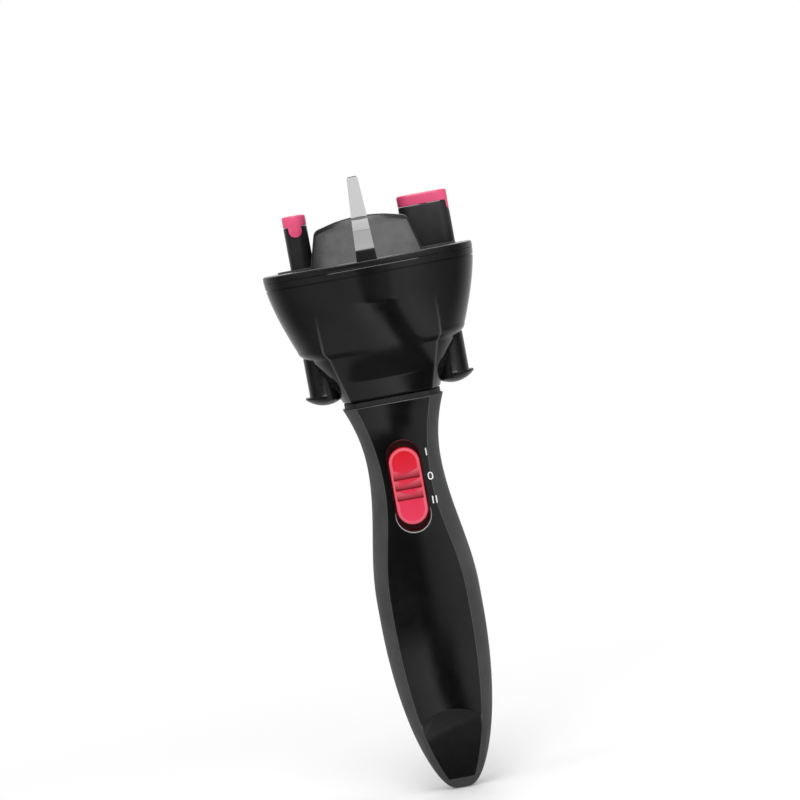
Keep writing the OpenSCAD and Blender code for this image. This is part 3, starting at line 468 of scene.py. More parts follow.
def endRows(z0, z1, rows, radius, atStart=True, atEnd=True):
    # heights between two ends with the inset that rounds each end's edge
    steps = [(z0 + (z1 - z0) * i / rows, 0) for i in range(rows + 1)]
    steps = [s for s in steps
             if (not atStart or s[0] > z0 + radius) and (not atEnd or s[0] < z1 - radius)]
    if atStart:
        steps = [(z0 + up, inset) for up, inset in rounding(radius)] + steps
    if atEnd:
        steps += [(z1 - up, inset) for up, inset in rounding(radius, pi / 2, 0)]
    return steps


def facetTool():
    # everything in front of the sloping lower facet
    low, high, far = -20, 60, 60
    return loft("facetTool", [
        np.array([(x, -facetY(low), low), (x, -far, low), (x, -far, high),
                  (x, -facetY(high), high)]) for x in (-30, 30)])


def onFacet(edge):
    return all(abs(v.co.y / mm + facetY(v.co.z / mm)) < 0.02 for v in edge.verts)


switch = {
    "z": 130, "recess": (38.8, 14.6), "knob": (32.3, 12.9), "knobHeight": 4.3, "floor": 12.1,
    "bezelFront": 14.3, "bezelWall": 0.5, "bezelFloor": 1, "bezelFit": 0.2, "gap": 0.3, "lip": 0.35,
    "slot": (1.8, 5.5), "stem": (1.5, 2.5), "knobRound": 1.5,
}
screwPlaces = [(0, 25), (-7.3, 151), (7.3, 151)]
screwHole = {"radius": 2.4, "floor": 9}

shellRows = endRows(handle["tipSolid"], handle["length"], handle["rows"], handle["endEdge"],
                    atStart=False)
coverRings = []
for z, inset in shellRows:
    reach = handleSection(z)[4] - handle["creaseGap"] * deg
    coverRings.append(shellRing(z, -reach, reach, handle["edge"], inset))
frontCover = loft("handleFrontCover", coverRings)
combine(frontCover, facetTool())
softenEdges(frontCover, handle["facetEdge"], angle=8, where=onFacet)
combine(frontCover, loft("recess", [facingFront(pill(*switch["recess"], 40), y, 0, switch["z"])
                                    for y in (-30, 0)]))


def onRecessLip(edge):
    length, width = switch["recess"]

    def offLip(v):
        x, y, z = v.co / mm
        past = max(abs(z - switch["z"]) - (length - width) / 2, 0)
        return abs(hypot(x, past) - width / 2) > 0.03 or y > -12.6
    return not any(offLip(v) for v in edge.verts)


softenEdges(frontCover, switch["lip"], angle=40, where=onRecessLip)
for (x, y, z), mark in pointMarks(frontCover, "paintedHighlight"):
    # a painted highlight along the two creases of the front panel, where light catches their
    # rounded edges
    s = handleSection(z)
    if y < 0:
        mark.value = exp(-((abs(x) - s[0] * sin(s[4]) + 0.1) / handle["highlightWidth"]) ** 2)
finished(frontCover, "handle", "gloss_shell", "glossShell", "handle_front_cover", angle=12)
print("front cover done")


def handleFull(z, inset=0):
    s = handleSection(z, inset)
    return atHeight(sectionPoints(s, fullTurn(s[4])), z)


tipRows = [(0, 0.9), (0.08, 0.55), (0.3, 0.22), (0.7, 0.05), (1.3, 0), (2.4, 0), (4, 0)]
bodyRings = []
for z, inset in shellRows:
    crease = handleSection(z)[4]
    bodyRings.append(shellRing(z, crease, 2 * pi - crease, handle["edge"], inset))
handleBody = loft("handleBody", bodyRings)
combine(handleBody, loft("tip", [handleFull(z, inset) for z, inset in tipRows]), "UNION")
combine(handleBody, facetTool())
door = {"half": 13.5, "z0": 40.2, "z1": 94.3, "gap": 0.1, "columns": 70, "rows": 60, "endEdge": 0.4}
combine(handleBody, block((-door["half"], 4, door["z0"]), (door["half"], 34, door["z1"])))
for x, z in screwPlaces:
    combine(handleBody, loft("screwHole", [
        facingFront(circle(screwHole["radius"], 48), y, x, z) for y in (screwHole["floor"], 30)]))
finished(handleBody, "handle", "satin_shell", "satinShell", "handle_body", angle=12)
# the gloss of the front runs on over the tip, and below 2 mm the whole tip end takes the dark gloss
# as painted shade
handleBody.data.materials.append(finishes["glossShell"])
for face in handleBody.data.polygons:
    x, y, z = face.center / mm
    s = handleSection(max(z, 0))
    onFront = abs(x) < s[0] * sin(s[4]) and face.normal.y < -0.2
    if z < handle["tipSolid"] and (onFront or z < 2):
        face.material_index = 1
print("body done")


def doorRing(z, inset):
    s = handleSection(z)
    half = door["half"] - door["gap"] - inset
    reach = asin(half / s[0])
    t = np.linspace(pi - reach, pi + reach, door["columns"])
    outer = sectionPoints((s[0] - inset, s[1], s[2] - inset, *s[3:]), t)
    inner = sectionPoints(handleSection(z, handle["wall"]), t[::-1])
    # the outer corners are rounded over a fifth of the wall
    left, right, outside = outer[0], outer[-1], outer[2:-2]
    wallLeft, wallRight = left + (inner[-1] - left) * 0.2, right + (inner[0] - right) * 0.2
    return atHeight(np.concatenate([outside, bend(outside[-1], right, wallRight), inner,
                                    bend(wallLeft, left, outside[0])]), z)


batteryDoor = loft("batteryDoor", [doorRing(z, inset) for z, inset in endRows(
    door["z0"] + door["gap"], door["z1"] - door["gap"], door["rows"], door["endEdge"])])
# thumb grooves that follow the door's curve
doorGroove = {"count": 5, "below": 5.5, "pitch": 2.4, "radius": 0.5, "sides": 16, "y": 19.5,
              "curve": 0.012, "places": (-6, -3, 0, 3, 6)}
groove = circle(doorGroove["radius"], doorGroove["sides"])
for i in range(doorGroove["count"]):
    z = door["z1"] - doorGroove["below"] - doorGroove["pitch"] * i
    combine(batteryDoor, loft("groove", [
        np.column_stack([np.full(len(groove), x),
                         doorGroove["y"] - doorGroove["curve"] * x * x + groove[:, 0],
                         z + groove[:, 1]]) for x in doorGroove["places"]]))
finished(batteryDoor, "battery_door", "satin_shell", "satinShell", "battery_door", angle=20)
print("door done")


# ---- switch ----

def frontStack(name, steps):
    # pill outlines one in front of the other: each step is (length, width, y)
    return loft(name, [facingFront(pill(length, width, 40), y, 0, switch["z"])
                       for length, width, y in steps])


recessLength, recessWidth = (v - switch["bezelFit"] for v in switch["recess"])
wall = switch["bezelWall"]
bezel = frontStack("switchBezel", [
    (recessLength, recessWidth, -switch["floor"] + switch["bezelFloor"]),
    (recessLength, recessWidth, -switch["bezelFront"] + 0.15),
    (recessLength - 0.1, recessWidth - 0.1, -switch["bezelFront"] + 0.04),
    (recessLength - 0.3, recessWidth - 0.3, -switch["bezelFront"]),
    (recessLength - 2 * wall + 0.2, recessWidth - 2 * wall + 0.2, -switch["bezelFront"]),
    (recessLength - 2 * wall, recessWidth - 2 * wall, -switch["bezelFront"] + 0.1),
    (recessLength - 2 * wall, recessWidth - 2 * wall, -switch["floor"])])
slotHalf, slotReach = switch["slot"]
combine(bezel, block((-slotHalf, -14, switch["z"] - slotReach),
                     (slotHalf, -10, switch["z"] + slotReach)))
finished(bezel, "handle", "bezel_red", "bezelRed", "switch_bezel")

knobLength, knobWidth = switch["knob"]
knobGrip = {"start": 6.9, "pitch": 4.3, "deep": 1.1, "half": 5.5}
knobFoot = -(switch["floor"] + switch["gap"])
knobTop = knobFoot - switch["knobHeight"]
soft = switch["knobRound"]
knobSteps = [(knobLength, knobWidth, knobFoot), (knobLength, knobWidth, knobTop + soft)]
for a in np.linspace(pi / 2, 0, 8)[1:]:
    inset = soft - soft * sin(a)
    knobSteps.append((knobLength - 2 * inset, knobWidth - 2 * inset,
                      knobTop + soft - soft * cos(a)))
# the middle of the knob is slightly hollow
knobSteps += [(knobLength - 6, knobWidth - 6, knobTop + 0.12),
              (knobLength - 9, knobWidth - 9, knobTop + 0.3)]
knob = frontStack("switchKnob", knobSteps)
for i in range(3):
    # each grip step runs in towards its lower end
    z = switch["z"] + knobGrip["start"] - i * knobGrip["pitch"]
    low = z - knobGrip["pitch"]
    step = np.array([(knobTop + 0.05, z), (knobTop + knobGrip["deep"], low + 0.35),
                     (knobTop - 1, low + 0.05), (knobTop - 1, z)])
    combine(knob, loft("gripStep", [np.column_stack([np.full(4, x), step])
                                    for x in (-knobGrip["half"], knobGrip["half"])]))
stemHalf, stemReach = switch["stem"]
combine(knob, block((-stemHalf, knobFoot - 1, switch["z"] - stemReach),
                    (stemHalf, -9.5, switch["z"] + stemReach)), "UNION")
# marks for a painted highlight on the rim band and painted shade in the grip steps
for (x, y, z), highlight, dark in pointMarks(knob, "paintedHighlight", "grip"):
    past = max(abs(z - switch["z"]) - (knobLength - knobWidth) / 2, 0)
    inset = knobWidth / 2 - hypot(x, past)
    highlight.value = 0.8 * (0.25 < inset < 1.3 and y < knobTop + soft)
    dark.value = float(y > knobTop + 0.6 and inset > 0.5 and y < knobTop + 1.3)
finished(knob, "switch_knob", "knob_red", "knobRed", "switch_knob", angle=30)
print("switch done")


# white switch marks: one bar, a ring and two bars, printed on the front cover
marks = {"x": 9.75, "high": 3.2, "bar": 0.5, "apart": 0.75, "ring": (2.2, 3.2), "ringLine": 0.95,
         "z": (142.5, 132.3, 122.4), "thick": 0.04}


def panelY(x, z):
    s = handleSection(z)
    edgeX, edgeY = s[0] * sin(s[4]), -s[1] * cos(s[4])
    return edgeY - s[5] * (1 - (x / edgeX) ** 2)


def printedMark(outline, inner=None):
    # a thin layer that lies on the panel, from an outline of (x, z) points
    points, faces, n = [], [], len(outline)
    loops = [outline, inner] if inner is not None else [outline]
    for out in (0.01, marks["thick"]):
        for loop in loops:
            points += [(x, panelY(x, z) - out, z) for x, z in loop]
    k = len(loops) * n
    for i in range(n):
        j = (i + 1) % n
        faces.append([i, j, k + j, k + i])
        if inner is not None:
            faces += [[n + j, n + i, k + n + i, k + n + j], [i, n + i, n + j, j],
                      [k + i, k + j, k + n + j, k + n + i]]
    if inner is None:
        faces += [list(range(n - 1, -1, -1)), list(range(k, k + n))]
    return points, faces


# a painted highlight on the lower lip of the recess: a thin light crescent that lies on the panel
crescent = {"wide": (0.12, 0.42), "thick": (-0.02, 0.05), "steps": 60, "past": 0.35, "gap": 0.01}
lipCentre = switch["z"] - (switch["recess"][0] - switch["recess"][1]) / 2
reach = switch["recess"][1] / 2 + crescent["gap"]
thin, thick = crescent["wide"]
sunk, raised = crescent["thick"]
lipRings = []
for k in range(crescent["steps"] + 1):
    share = k / crescent["steps"]
    t = pi - crescent["past"] + (pi + 2 * crescent["past"]) * share
    width = thin + (thick - thin) * sin(pi * share)
    corners = [(reach, sunk), (reach + width, sunk), (reach + width, raised), (reach, raised)]
    ring = [(far * cos(t), lipCentre + far * sin(t), out) for far, out in corners]
    lipRings.append([(x, panelY(x, z) - out, z) for x, z, out in ring])
finished(loft("lipHighlight", lipRings), "handle", "gloss_shell", "paintedLipHighlight")

onZ, offZ, fastZ = marks["z"]
bar = pill(marks["high"], marks["bar"], 6)
ringWide, ringHigh = marks["ring"]
ring = pill(ringHigh, ringWide, 20) + [marks["x"], offZ]
hole = pill(ringHigh - marks["ringLine"], ringWide - marks["ringLine"], 20) + [marks["x"], offZ]
allPoints, allFaces = [], []
for points, faces in (printedMark(bar + [marks["x"], onZ]), printedMark(ring, hole),
                      printedMark(bar + [marks["x"] - marks["apart"], fastZ]),
                      printedMark(bar + [marks["x"] + marks["apart"], fastZ])):
    allFaces += [[len(allPoints) + v for v in face] for face in faces]
    allPoints += points
switchMarks = newPiece("switchMarks", allPoints, allFaces)
finished(switchMarks, "handle", "nylon", "markWhite")


# ---- head ----

head = {
    "z": 167.7, "rim": 222.3, "cover": 225.2, "dome": 243.3, "fin": 260, "shoulder": 187.2,
    "neck": 20.7, "under": 31.2, "over": 35.4, "rimHalf": (44.1, 28.3), "neckDepth": (24, 18.5),
    "wall": 2, "armX": 27, "bore": 7, "guide": 8.8, "guideTop": 197.5, "carrier": 205.5,
    "collarIn": 1.1, "round": 4.6, "post": (3, 13, 15.5), "hubHole": (9.1, 3.5),
    "socket": (7, 217.3), "spindleHole": 4.56,
    # heights of the hollow above the head's underside
    "cavity": (2.5, 6, 9, 12, 15, 18.5, 20, 22, 24, 28, 32, 36, 40, 45, 50, 55.1),
}


def headHalf(z):
    # the cone under the shoulder, the rounded shoulder and the cup above it
    shoulder, over = head["shoulder"], head["shoulder"] + head["round"]
    if z <= shoulder:
        return head["neck"] + (head["under"] - head["neck"]) * upto(z, head["z"], shoulder) ** 1.12
    if z < over:
        return head["under"] + (head["over"] - head["under"]) * sin(
            pi / 2 * upto(z, shoulder, over))
    rim = head["rimHalf"][0]
    return rim - (rim - head["over"]) * (1 - upto(z, over, head["rim"])) ** 1.43


def headSection(z, inset=0):
    u = upto(z, head["z"], head["rim"])
    flat = 1 - upto(z, head["z"] + 8, head["z"] + 40) ** 1.2
    power = 2 + 0.4 * u
    share = 0.84 - 0.22 * upto(z, head["z"], head["z"] + 36)
    crease = asin(share ** (power / 2))
    neckFront, neckBack = head["neckDepth"]
    rimDepth = head["rimHalf"][1]
    frontInset = inset * (1 + (1 / cos(crease) - 1) * flat)
    return (headHalf(z) - inset, neckFront + (rimDepth - neckFront) * u - frontInset,
            rimDepth - (rimDepth - neckBack) * (1 - u) ** 1.6 - inset, power, crease, 1.2, flat)


def headRing(z, inset=0):
    s = headSection(min(z, head["rim"]), inset)
    return atHeight(sectionPoints(s, fullTurn(s[4])), z)


rimGroove = {"z": 219.25, "half": 0.28,
             "steps": ((-0.2, 0.12), (-0.12, 0.45), (0.12, 0.45), (0.2, 0.12), (0.32, 0))}
cupRows = endRows(head["z"], rimGroove["z"] - rimGroove["half"], 96, 0.7, atEnd=False)
cupRows += [(rimGroove["z"] + up, inset) for up, inset in rimGroove["steps"]]
cupRows += [(220.5, 0), (221.9, 0), (222.15, 0.08), (head["rim"], 0.25)]
headCup = loft("headCup", [headRing(z, inset) for z, inset in cupRows])
cavity = loft("cavity", [headRing(head["z"] + h, head["wall"]) for h in head["cavity"]])
postRadius, postX, postY = head["post"]
armPlaces = (-head["armX"], head["armX"])
for side in (-1, 1):
    combine(cavity, rod(head["guide"], head["z"], head["guideTop"], side * head["armX"]))
    for y in (-postY, postY):
        combine(cavity, rod(postRadius, head["z"], head["carrier"], side * postX, y, 48))
combine(headCup, cavity)
for x in armPlaces:
    combine(headCup, rod(head["bore"], head["z"] - 1, head["guideTop"] + 1, x))
combine(headCup, rod(head["hubHole"][0], head["z"] - 1, head["z"] + head["hubHole"][1]))
for (x, y, z), mark in pointMarks(headCup, "paintedHighlight"):
    # a painted highlight along the two mould creases of the cup, as thin light lines
    s = headSection(z)
    if y < 0:
        mark.value = (1 - upto(z, 192, 207)) * exp(
            -((abs(x) - s[0] * sin(s[4]) ** (2 / s[3])) / handle["highlightWidth"]) ** 2)
finished(headCup, "head", "gloss_shell", "glossCup", "head_cup", angle=14)
collarRings = []
for z, inset in ((handle["length"], 0), (head["z"] - 0.5, 0), (head["z"] - 0.3, 0.2)):
    s = handleSection(handle["length"], head["collarIn"] + inset)
    collarRings.append(atHeight(sectionPoints(s, fullTurn(1)), z))
neckCollar = loft("neckCollar", collarRings)
combine(neckCollar, rod(9.3, handle["length"] - 1, head["z"] + 1))
finished(neckCollar, "handle", "satin_shell", "innerBlack", "thrust_washer")
print("cup and collar done")

dome = {"foot": 24, "top": 19.3, "drop": 3, "corner": 3.5, "lean": 6, "edge": 0.7,
        "round": (2, 1.3), "power": 2.4, "sweep": 11.3, "recess": 10.9, "recessFloor": 223.8,
        "columns": 60, "sideColumns": 30, "sideRows": 14}


def domeDepth(z, inset=0, x=0):
    # the front leans back, and rounds off below the arched top
    top = head["dome"] - inset - dome["drop"] * (x / dome["top"]) ** 2
    high, deep = dome["round"]
    near = np.clip((z - top + high) / high, 0, 1)
    return (head["rimHalf"][1] - 0.3 - inset
            - dome["lean"] * upto(z, head["rim"], head["dome"]) ** 1.6 - deep * near ** 2)


def domeOutline(inset, foot):
    # right half of the front outline: half widths and heights from the foot to the middle
    wide, top = dome["foot"] - inset, dome["top"] - inset
    shares = (1, 0.6, 0.5, 0.4, 0.3, 0.2, 0.1, 0, -0.3, -0.6, -1)
    arch = [(top * x, head["dome"] - inset - dome["drop"] * x * x,
             dome["corner"] if abs(x) == 1 else 0) for x in shares]
    points = roundedOutline([(-wide, foot, 0), (wide, foot, 0)] + arch, 12)
    points = points[points[:, 0] > -1e-6]
    low, high = points[1:3]
    side = [low + (high - low) * k / dome["sideRows"] for k in range(dome["sideRows"])]
    return np.array([points[0]] + side[1:] + list(points[2:]))


def domeRing(half, z, inset=0):
    half = max(half, 0.5)
    edge = min(dome["edge"], half * 0.4)

    def front(x):
        power = dome["power"]
        curve = (1 - (np.abs(x) / head["rimHalf"][0]) ** power) ** (1 / power)
        return np.stack([x, -domeDepth(z, inset, x) * curve], 1)
    face = front(np.linspace(-half + edge, half - edge, dome["columns"]))
    corner = front(np.array([half]))[0]
    count = dome["sideColumns"]
    side = np.column_stack([np.full(count, half),
                            np.linspace(corner[1] + edge, -corner[1] - edge, count)])
    turned = bend(face[-1], corner, side[0])
    back = bend(side[-1], corner * [1, -1], face[-1] * [1, -1])
    outline = np.concatenate([face, turned, side, back])
    return atHeight(np.concatenate([outline, -outline]), z)


def domeSolid(inset, foot):
    return loft("dome", [domeRing(x, z, inset) for x, z in domeOutline(inset, foot)])


plate = {"side": 2.0, "round": 0.9}
plateRows = [(0, 0.25), (0.12, 0.08), (0.35, 0), (1.2, 0), (plate["side"], 0)]
plateRows += [(plate["side"] + plate["round"] * sin(a),
               plate["round"] - plate["round"] * cos(a))
              for a in np.linspace(0, pi / 2, 7)[1:]]
topCover = loft("headTopCover", [headRing(head["rim"], inset) + [0, 0, up]
                                 for up, inset in plateRows])
combine(topCover, domeSolid(0, head["rim"] + 0.5), "UNION")
socketRadius, socketFoot = head["socket"]
for x in armPlaces:
    combine(topCover, rod(socketRadius, socketFoot, head["rim"] + 1, x), "UNION")
hollow = domeSolid(head["wall"], head["rim"] - 1)
for x in armPlaces:
    combine(hollow, rod(dome["sweep"] + head["wall"], head["rim"] - 2, 262, x))
combine(topCover, hollow)
for x in armPlaces:
    # the swept pocket, the turntable's recess and the spindle's hole
    combine(topCover, rod(dome["sweep"], head["cover"], 265, x, count=160))
    combine(topCover, rod(dome["recess"], dome["recessFloor"], 234, x, count=160))
    combine(topCover, rod(head["spindleHole"], 216, 236, x, count=64))
for (x, y, z), mark in pointMarks(topCover, "paintedHighlight"):
    # a painted highlight along the rim's edge
    outward = sum((abs(v) / half) ** dome["power"] for v, half in zip((x, y), head["rimHalf"]))
    mark.value = 0.8 * (outward > 0.9 and 224.75 < z < 225.15)
finished(topCover, "head", "gloss_shell", "glossHead", "head_top_cover", angle=20)
print("top cover done")

fin = {"foot": 8.3, "mid": 6.5, "top": 4.5, "edge": 0.55,
       # depth, height and rounding of the front's corners, from the foot up
       "side": ((28.7, 225.2, 0), (28.6, 229.6, 12), (24.6, 239.6, 14), (4.5, 260, 2))}
frontOutline = roundedOutline([
    (-fin["foot"] / 2, head["cover"], 0), (fin["foot"] / 2, head["cover"], 0),
    (fin["mid"] / 2, head["dome"], 30), (fin["top"] / 2, head["fin"], 1.4),
    (-fin["top"] / 2, head["fin"], 1.4), (-fin["mid"] / 2, head["dome"], 30)])
sideOutline = roundedOutline(
    list(fin["side"]) + [(-y, z, r) for y, z, r in reversed(fin["side"])], 14)
dividerFin = loft("dividerFin", [facingFront(frontOutline, y) for y in (-40, 40)])
combine(dividerFin, loft("finSide", [np.column_stack([np.full(len(sideOutline), x), sideOutline])
                                     for x in (-10, 10)]), "INTERSECT")
softenEdges(dividerFin, fin["edge"], angle=35, segments=4)
combine(dividerFin, domeSolid(0, head["rim"] - 1))
finished(dividerFin, "head", "gloss_shell", "glossFin", "divider_fin", flatFaces=True)
print("fin done")


# ---- arms, hooks and push buttons ----

arm = {"length": 21, "width": 9.6, "z": 226, "top": 243.5, "pocket": 0.3,
       "turntable": (223.9, 10.6, 2.1), "spindle": 4.5, "rod": 1.5, "rodHole": 1.56}
hook = {"thick": 4.6, "leg": (5.5, 3.2), "drop": 4.4, "edge": 0.9}
button = {"foot": 168.1, "high": 20.9, "sleeve": 6.7, "lip": 8.6, "rise": 3.6, "wall": 1.5,
          "cup": 174, "cut": -0.5}
restAngle = {"right": 0, "left": -90}


def placed(piece, side):
    piece.data.transform(shiftTo(side) @ Matrix.Rotation(restAngle[side] * deg, 4, "Z"))
    return piece


def barRing(z, inset=0):
    return atHeight(pill(arm["length"] - 2 * inset, arm["width"] - 2 * inset, 40)[:, ::-1], z)


def softStack(z0, z1, low, high):
    # heights and insets with a rounded edge below and above
    return ([(z0 + up, inset) for up, inset in rounding(low)]
            + [(z1 - up, inset) for up, inset in rounding(high, pi / 2, 0)])


def legTool(width, depth, foot, top, soft):
    # U-shaped block at the outer end of the bar, drawn in the YZ plane
    t = np.linspace(pi, 2 * pi, 33)
    foot = np.column_stack([np.cos(t), np.sin(t)]) * width / 2 + [0, foot + width / 2]
    outline = np.concatenate([foot, [(width / 2, top), (-width / 2, top)]])
    start = arm["length"] / 2 - depth
    middle = outline.mean(0)
    rows = [(start, soft), (start + soft * 0.3, soft * 0.25), (start + soft, 0),
            (arm["length"] / 2 + 1, 0)]
    return loft("leg", [np.column_stack([np.full(len(outline), x),
                                         outline - (outline - middle) * inset / (width / 2)])
                        for x, inset in rows])


for side in ("right", "left"):
    name = side.capitalize()
    armBar = loft("arm" + name,
                  [barRing(z, i) for z, i in softStack(arm["z"], arm["top"], 0.15, 0.5)])
    combine(armBar, rod(arm["rodHole"], arm["z"] - 1, arm["top"] + 1, count=48))
    legWidth, legDepth = hook["leg"]
    grown = arm["pocket"]
    combine(armBar, legTool(legWidth + 2 * grown, legDepth + grown,
                            arm["top"] - hook["drop"] - grown, arm["top"] + 3, 0.01))
    finished(placed(armBar, side), side + "_arm", "arm_black", "armBlack", side + "_arm")

    low, radius, thick = arm["turntable"]
    steps = [(arm["spindle"], head["carrier"]), (arm["spindle"], low)]
    steps += [(radius - i, z) for z, i in softStack(low, low + thick, 0.1, 0.4)]
    turntable = loft("turntable" + name, [atHeight(circle(r, 120), z) for r, z in steps])
    combine(turntable, rod(arm["rodHole"], 200, 240, count=48))
    finished(placed(turntable, side), side + "_arm", "satin_shell", "satinShell",
             side + "_turntable")

    low = arm["top"] + 0.1
    hookBar = loft("hook" + name, [
        barRing(z, i) for z, i in softStack(low, low + hook["thick"], 0.3, hook["edge"])])
    leg = legTool(legWidth, legDepth, arm["top"] - hook["drop"], low + 1.2, 0.35)
    combine(leg, loft("bar", [barRing(z, 0.05) for z in (arm["top"] - 8, low + 3)]), "INTERSECT")
    combine(hookBar, leg, "UNION")
    combine(hookBar, rod(arm["rod"], low - 1, low + 3, count=48))
    softenEdges(hookBar, 0.22, angle=50, segments=3)
    finished(placed(hookBar, side), side + "_hook", "hook_pink", "hookPink", side + "_hook")

    # a domed foot with a lip on the outer side, and a hollow sleeve above it
    lip, rise, foot = button["lip"], button["rise"], button["foot"]
    sleeve, high = button["sleeve"], button["high"]
    faceRadius = (lip ** 2 + rise ** 2) / (2 * rise)
    profile = [(r, faceRadius - sqrt(faceRadius ** 2 - r * r))
               for r in np.linspace(0.01, lip - 0.1, 24)]
    profile += [(lip, rise + 0.1), (lip, rise + 0.55), (lip - 0.1, rise + 0.75),
                (sleeve + 0.7, rise + 0.45), (sleeve + 0.2, rise + 0.7), (sleeve, rise + 1.2),
                (sleeve, high - 0.4), (sleeve - 0.4, high), (0.01, high)]
    thumb = loft("pushButton" + name, [atHeight(circle(r, 120), foot + z) for r, z in profile])
    combine(thumb, rod(sleeve - button["wall"], button["cup"] - 0.1, 200, count=96))
    notch = block((-lip - 1, -lip - 1, foot - 1), (button["cut"], lip + 1, foot + rise + 1.8))
    combine(notch, rod(sleeve - 0.03, foot - 3, foot + rise + 6, count=100))
    combine(thumb, notch)
    if side == "left":
        thumb.data.transform(Matrix.Rotation(pi, 4, "Z"))
    thumb.data.transform(shiftTo(side))
    finished(thumb, side + "_button", "gloss_shell", "glossHead", side + "_push_button")
print("arms, hooks and buttons done")


# ---- screws in the back ----

# radius and depth of each step from the shank to the domed head, and the cross slot's half sizes
screwShape = {"rows": ((1.2, -6), (1.2, 8.99), (2.3, 9), (2.3, 10.0), (2.15, 10.3), (1.8, 10.5),
                       (0.01, 10.6)), "cross": (1.5, 0.28), "crossFloor": 9.9}
backScrews = None
for x, z in screwPlaces:
    screw = loft("shellScrews", [facingFront(circle(r, 40), y, x, z)
                                 for r, y in screwShape["rows"]])
    for a, b in (screwShape["cross"], screwShape["cross"][::-1]):
        combine(screw, block((x - a, screwShape["crossFloor"], z - b), (x + a, 12, z + b)))
    backScrews = screw if backScrews is None else combine(backScrews, screw, "UNION")
finished(backScrews, "handle", "steel", "steel", "shell_screws")


# ---- return springs ----

spring = {"wire": 0.35, "turns": 9, "perTurn": 24, "sides": 8, "lift": 7.0, "spare": 0.3}


for side in ("left", "right"):
    # one round wire between the ends of the CAD spring
    node = side + "_return_spring"
    low, high = (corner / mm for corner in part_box(node))
    centre, wire = (low + high) / 2, spring["wire"]
    radius = (high.x - low.x) / 2 - wire
    count = spring["turns"] * spring["perTurn"]
    rings = []
    for i in range(count + 1):
        turn = 2 * pi * i / spring["perTurn"]
        out = np.array([cos(turn), sin(turn), 0])
        climb = (high.z - low.z - 2 * wire) * i / count
        middle = np.array([centre.x, centre.y, low.z + wire + climb])
        rings.append([middle + out * (radius + across) + np.array([0, 0, up])
                      for across, up in circle(wire, spring["sides"])])
    piece = loft("returnSpring" + side.capitalize(), np.array(rings))
    finished(piece, side + "_arm", "steel", "steel", node)
    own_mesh(piece)
print("springs done")


# ---- finishes of the CAD pieces that stay ----

kept = {
    "innerBlack": ["battery_tray", "lower_gear_plate", "upper_gear_plate"],
    "cellSleeve": ["batteries"],
    "steel": ["battery_contacts", "slide_switch", "motor", "motor_shaft", "output_shaft",
              "gear_axle", "hub_retaining_ring", "head_screws", "sun_shaft", "left_lift_rod",
              "right_lift_rod"],
    "brass": ["motor_pinion", "left_rod_collar", "right_rod_collar"],
    "nylon": ["first_gear", "second_gear", "third_gear", "output_gear", "neck_bearing", "head_hub",
              "gear_carrier", "sun_gear", "left_arm_gear", "right_arm_gear"],
}
for finish, names in kept.items():
    for name in names:
        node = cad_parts[name]
        node.data.materials.clear()
        node.data.materials.append(finishes[finish])
print("kept pieces finished:", sum(len(names) for names in kept.values()))


# ---- camera, light and floor ----

view = {"centre": (3.0, 0, 164.7), "across": 334, "distance": 1300, "cameraZ": 240, "roll": 10.4,
        "sensor": 36}
camera = addObject("camera", bpy.data.cameras.new("camera"))
target = Vector(view["centre"])
eye = Vector((view["centre"][0], -view["distance"], view["cameraZ"]))
forward = (target - eye).normalized()
right = forward.cross(Vector((0, 0, 1))).normalized()
up = right.cross(forward)
spin = Matrix.Rotation(view["roll"] * deg, 3, forward)
right, up = spin @ right, spin @ up
turn = Matrix((right, up, -forward)).transposed()
camera.matrix_world = Matrix.Translation(eye * mm) @ turn.to_4x4()
camera.data.sensor_width = view["sensor"]
camera.data.lens = view["sensor"] * (target - eye).length / view["across"]
camera.data.clip_end = 20
bpy.context.scene.camera = camera

lamps = {
    # place, where it points, width, height, power, and whether gloss shows it
    "topBox": ((0, -217, 1003), (0, -15, 250), 240, 900, 3.1, True),
    "frontBox": ((60, -840, 760), (0, 0, 225), 900, 420, 4.6, True),
    "leftBox": ((-860, -300, 330), (0, 0, 140), 220, 760, 1.4, False),
    "rightBox": ((860, -240, 330), (0, 0, 140), 220, 760, 1.4, False),
    "backBox": ((80, 800, 700), (0, 0, 160), 600, 400, 2.0, True),
}
for name, (place, aim, wide, high, power, inGloss) in lamps.items():
    light = bpy.data.lights.new(name, "AREA")
    light.shape, light.energy = "RECTANGLE", power
    light.size, light.size_y = wide * mm, high * mm
    lamp = addObject(name, light)
    place, aim = Vector(place) * mm, Vector(aim) * mm
    facing = (aim - place).to_track_quat("-Z", "Y").to_matrix().to_4x4()
    lamp.matrix_world = Matrix.Translation(place) @ facing
    lamp.visible_glossy = inGloss

world = bpy.data.worlds.new("studio")
bpy.context.scene.world = world
world.use_nodes = True
tree = world.node_tree


def addPart(kind, **values):
    part = tree.nodes.new(kind)
    for key, value in values.items():
        setattr(part, key, value)
    return part


def seenDirectly():
    # rays from the camera or through glass, and the same with rays that gloss reflects
    path = addPart("ShaderNodeLightPath")
    pair = addPart("ShaderNodeMath", operation="MAXIMUM")
    both = addPart("ShaderNodeMath", operation="MAXIMUM")
    link(path.outputs["Is Camera Ray"], pair.inputs[0])
    link(path.outputs["Is Transmission Ray"], pair.inputs[1])
    link(pair.outputs["Value"], both.inputs[0])
    link(path.outputs["Is Glossy Ray"], both.inputs[1])
    return pair.outputs["Value"], both.outputs["Value"]


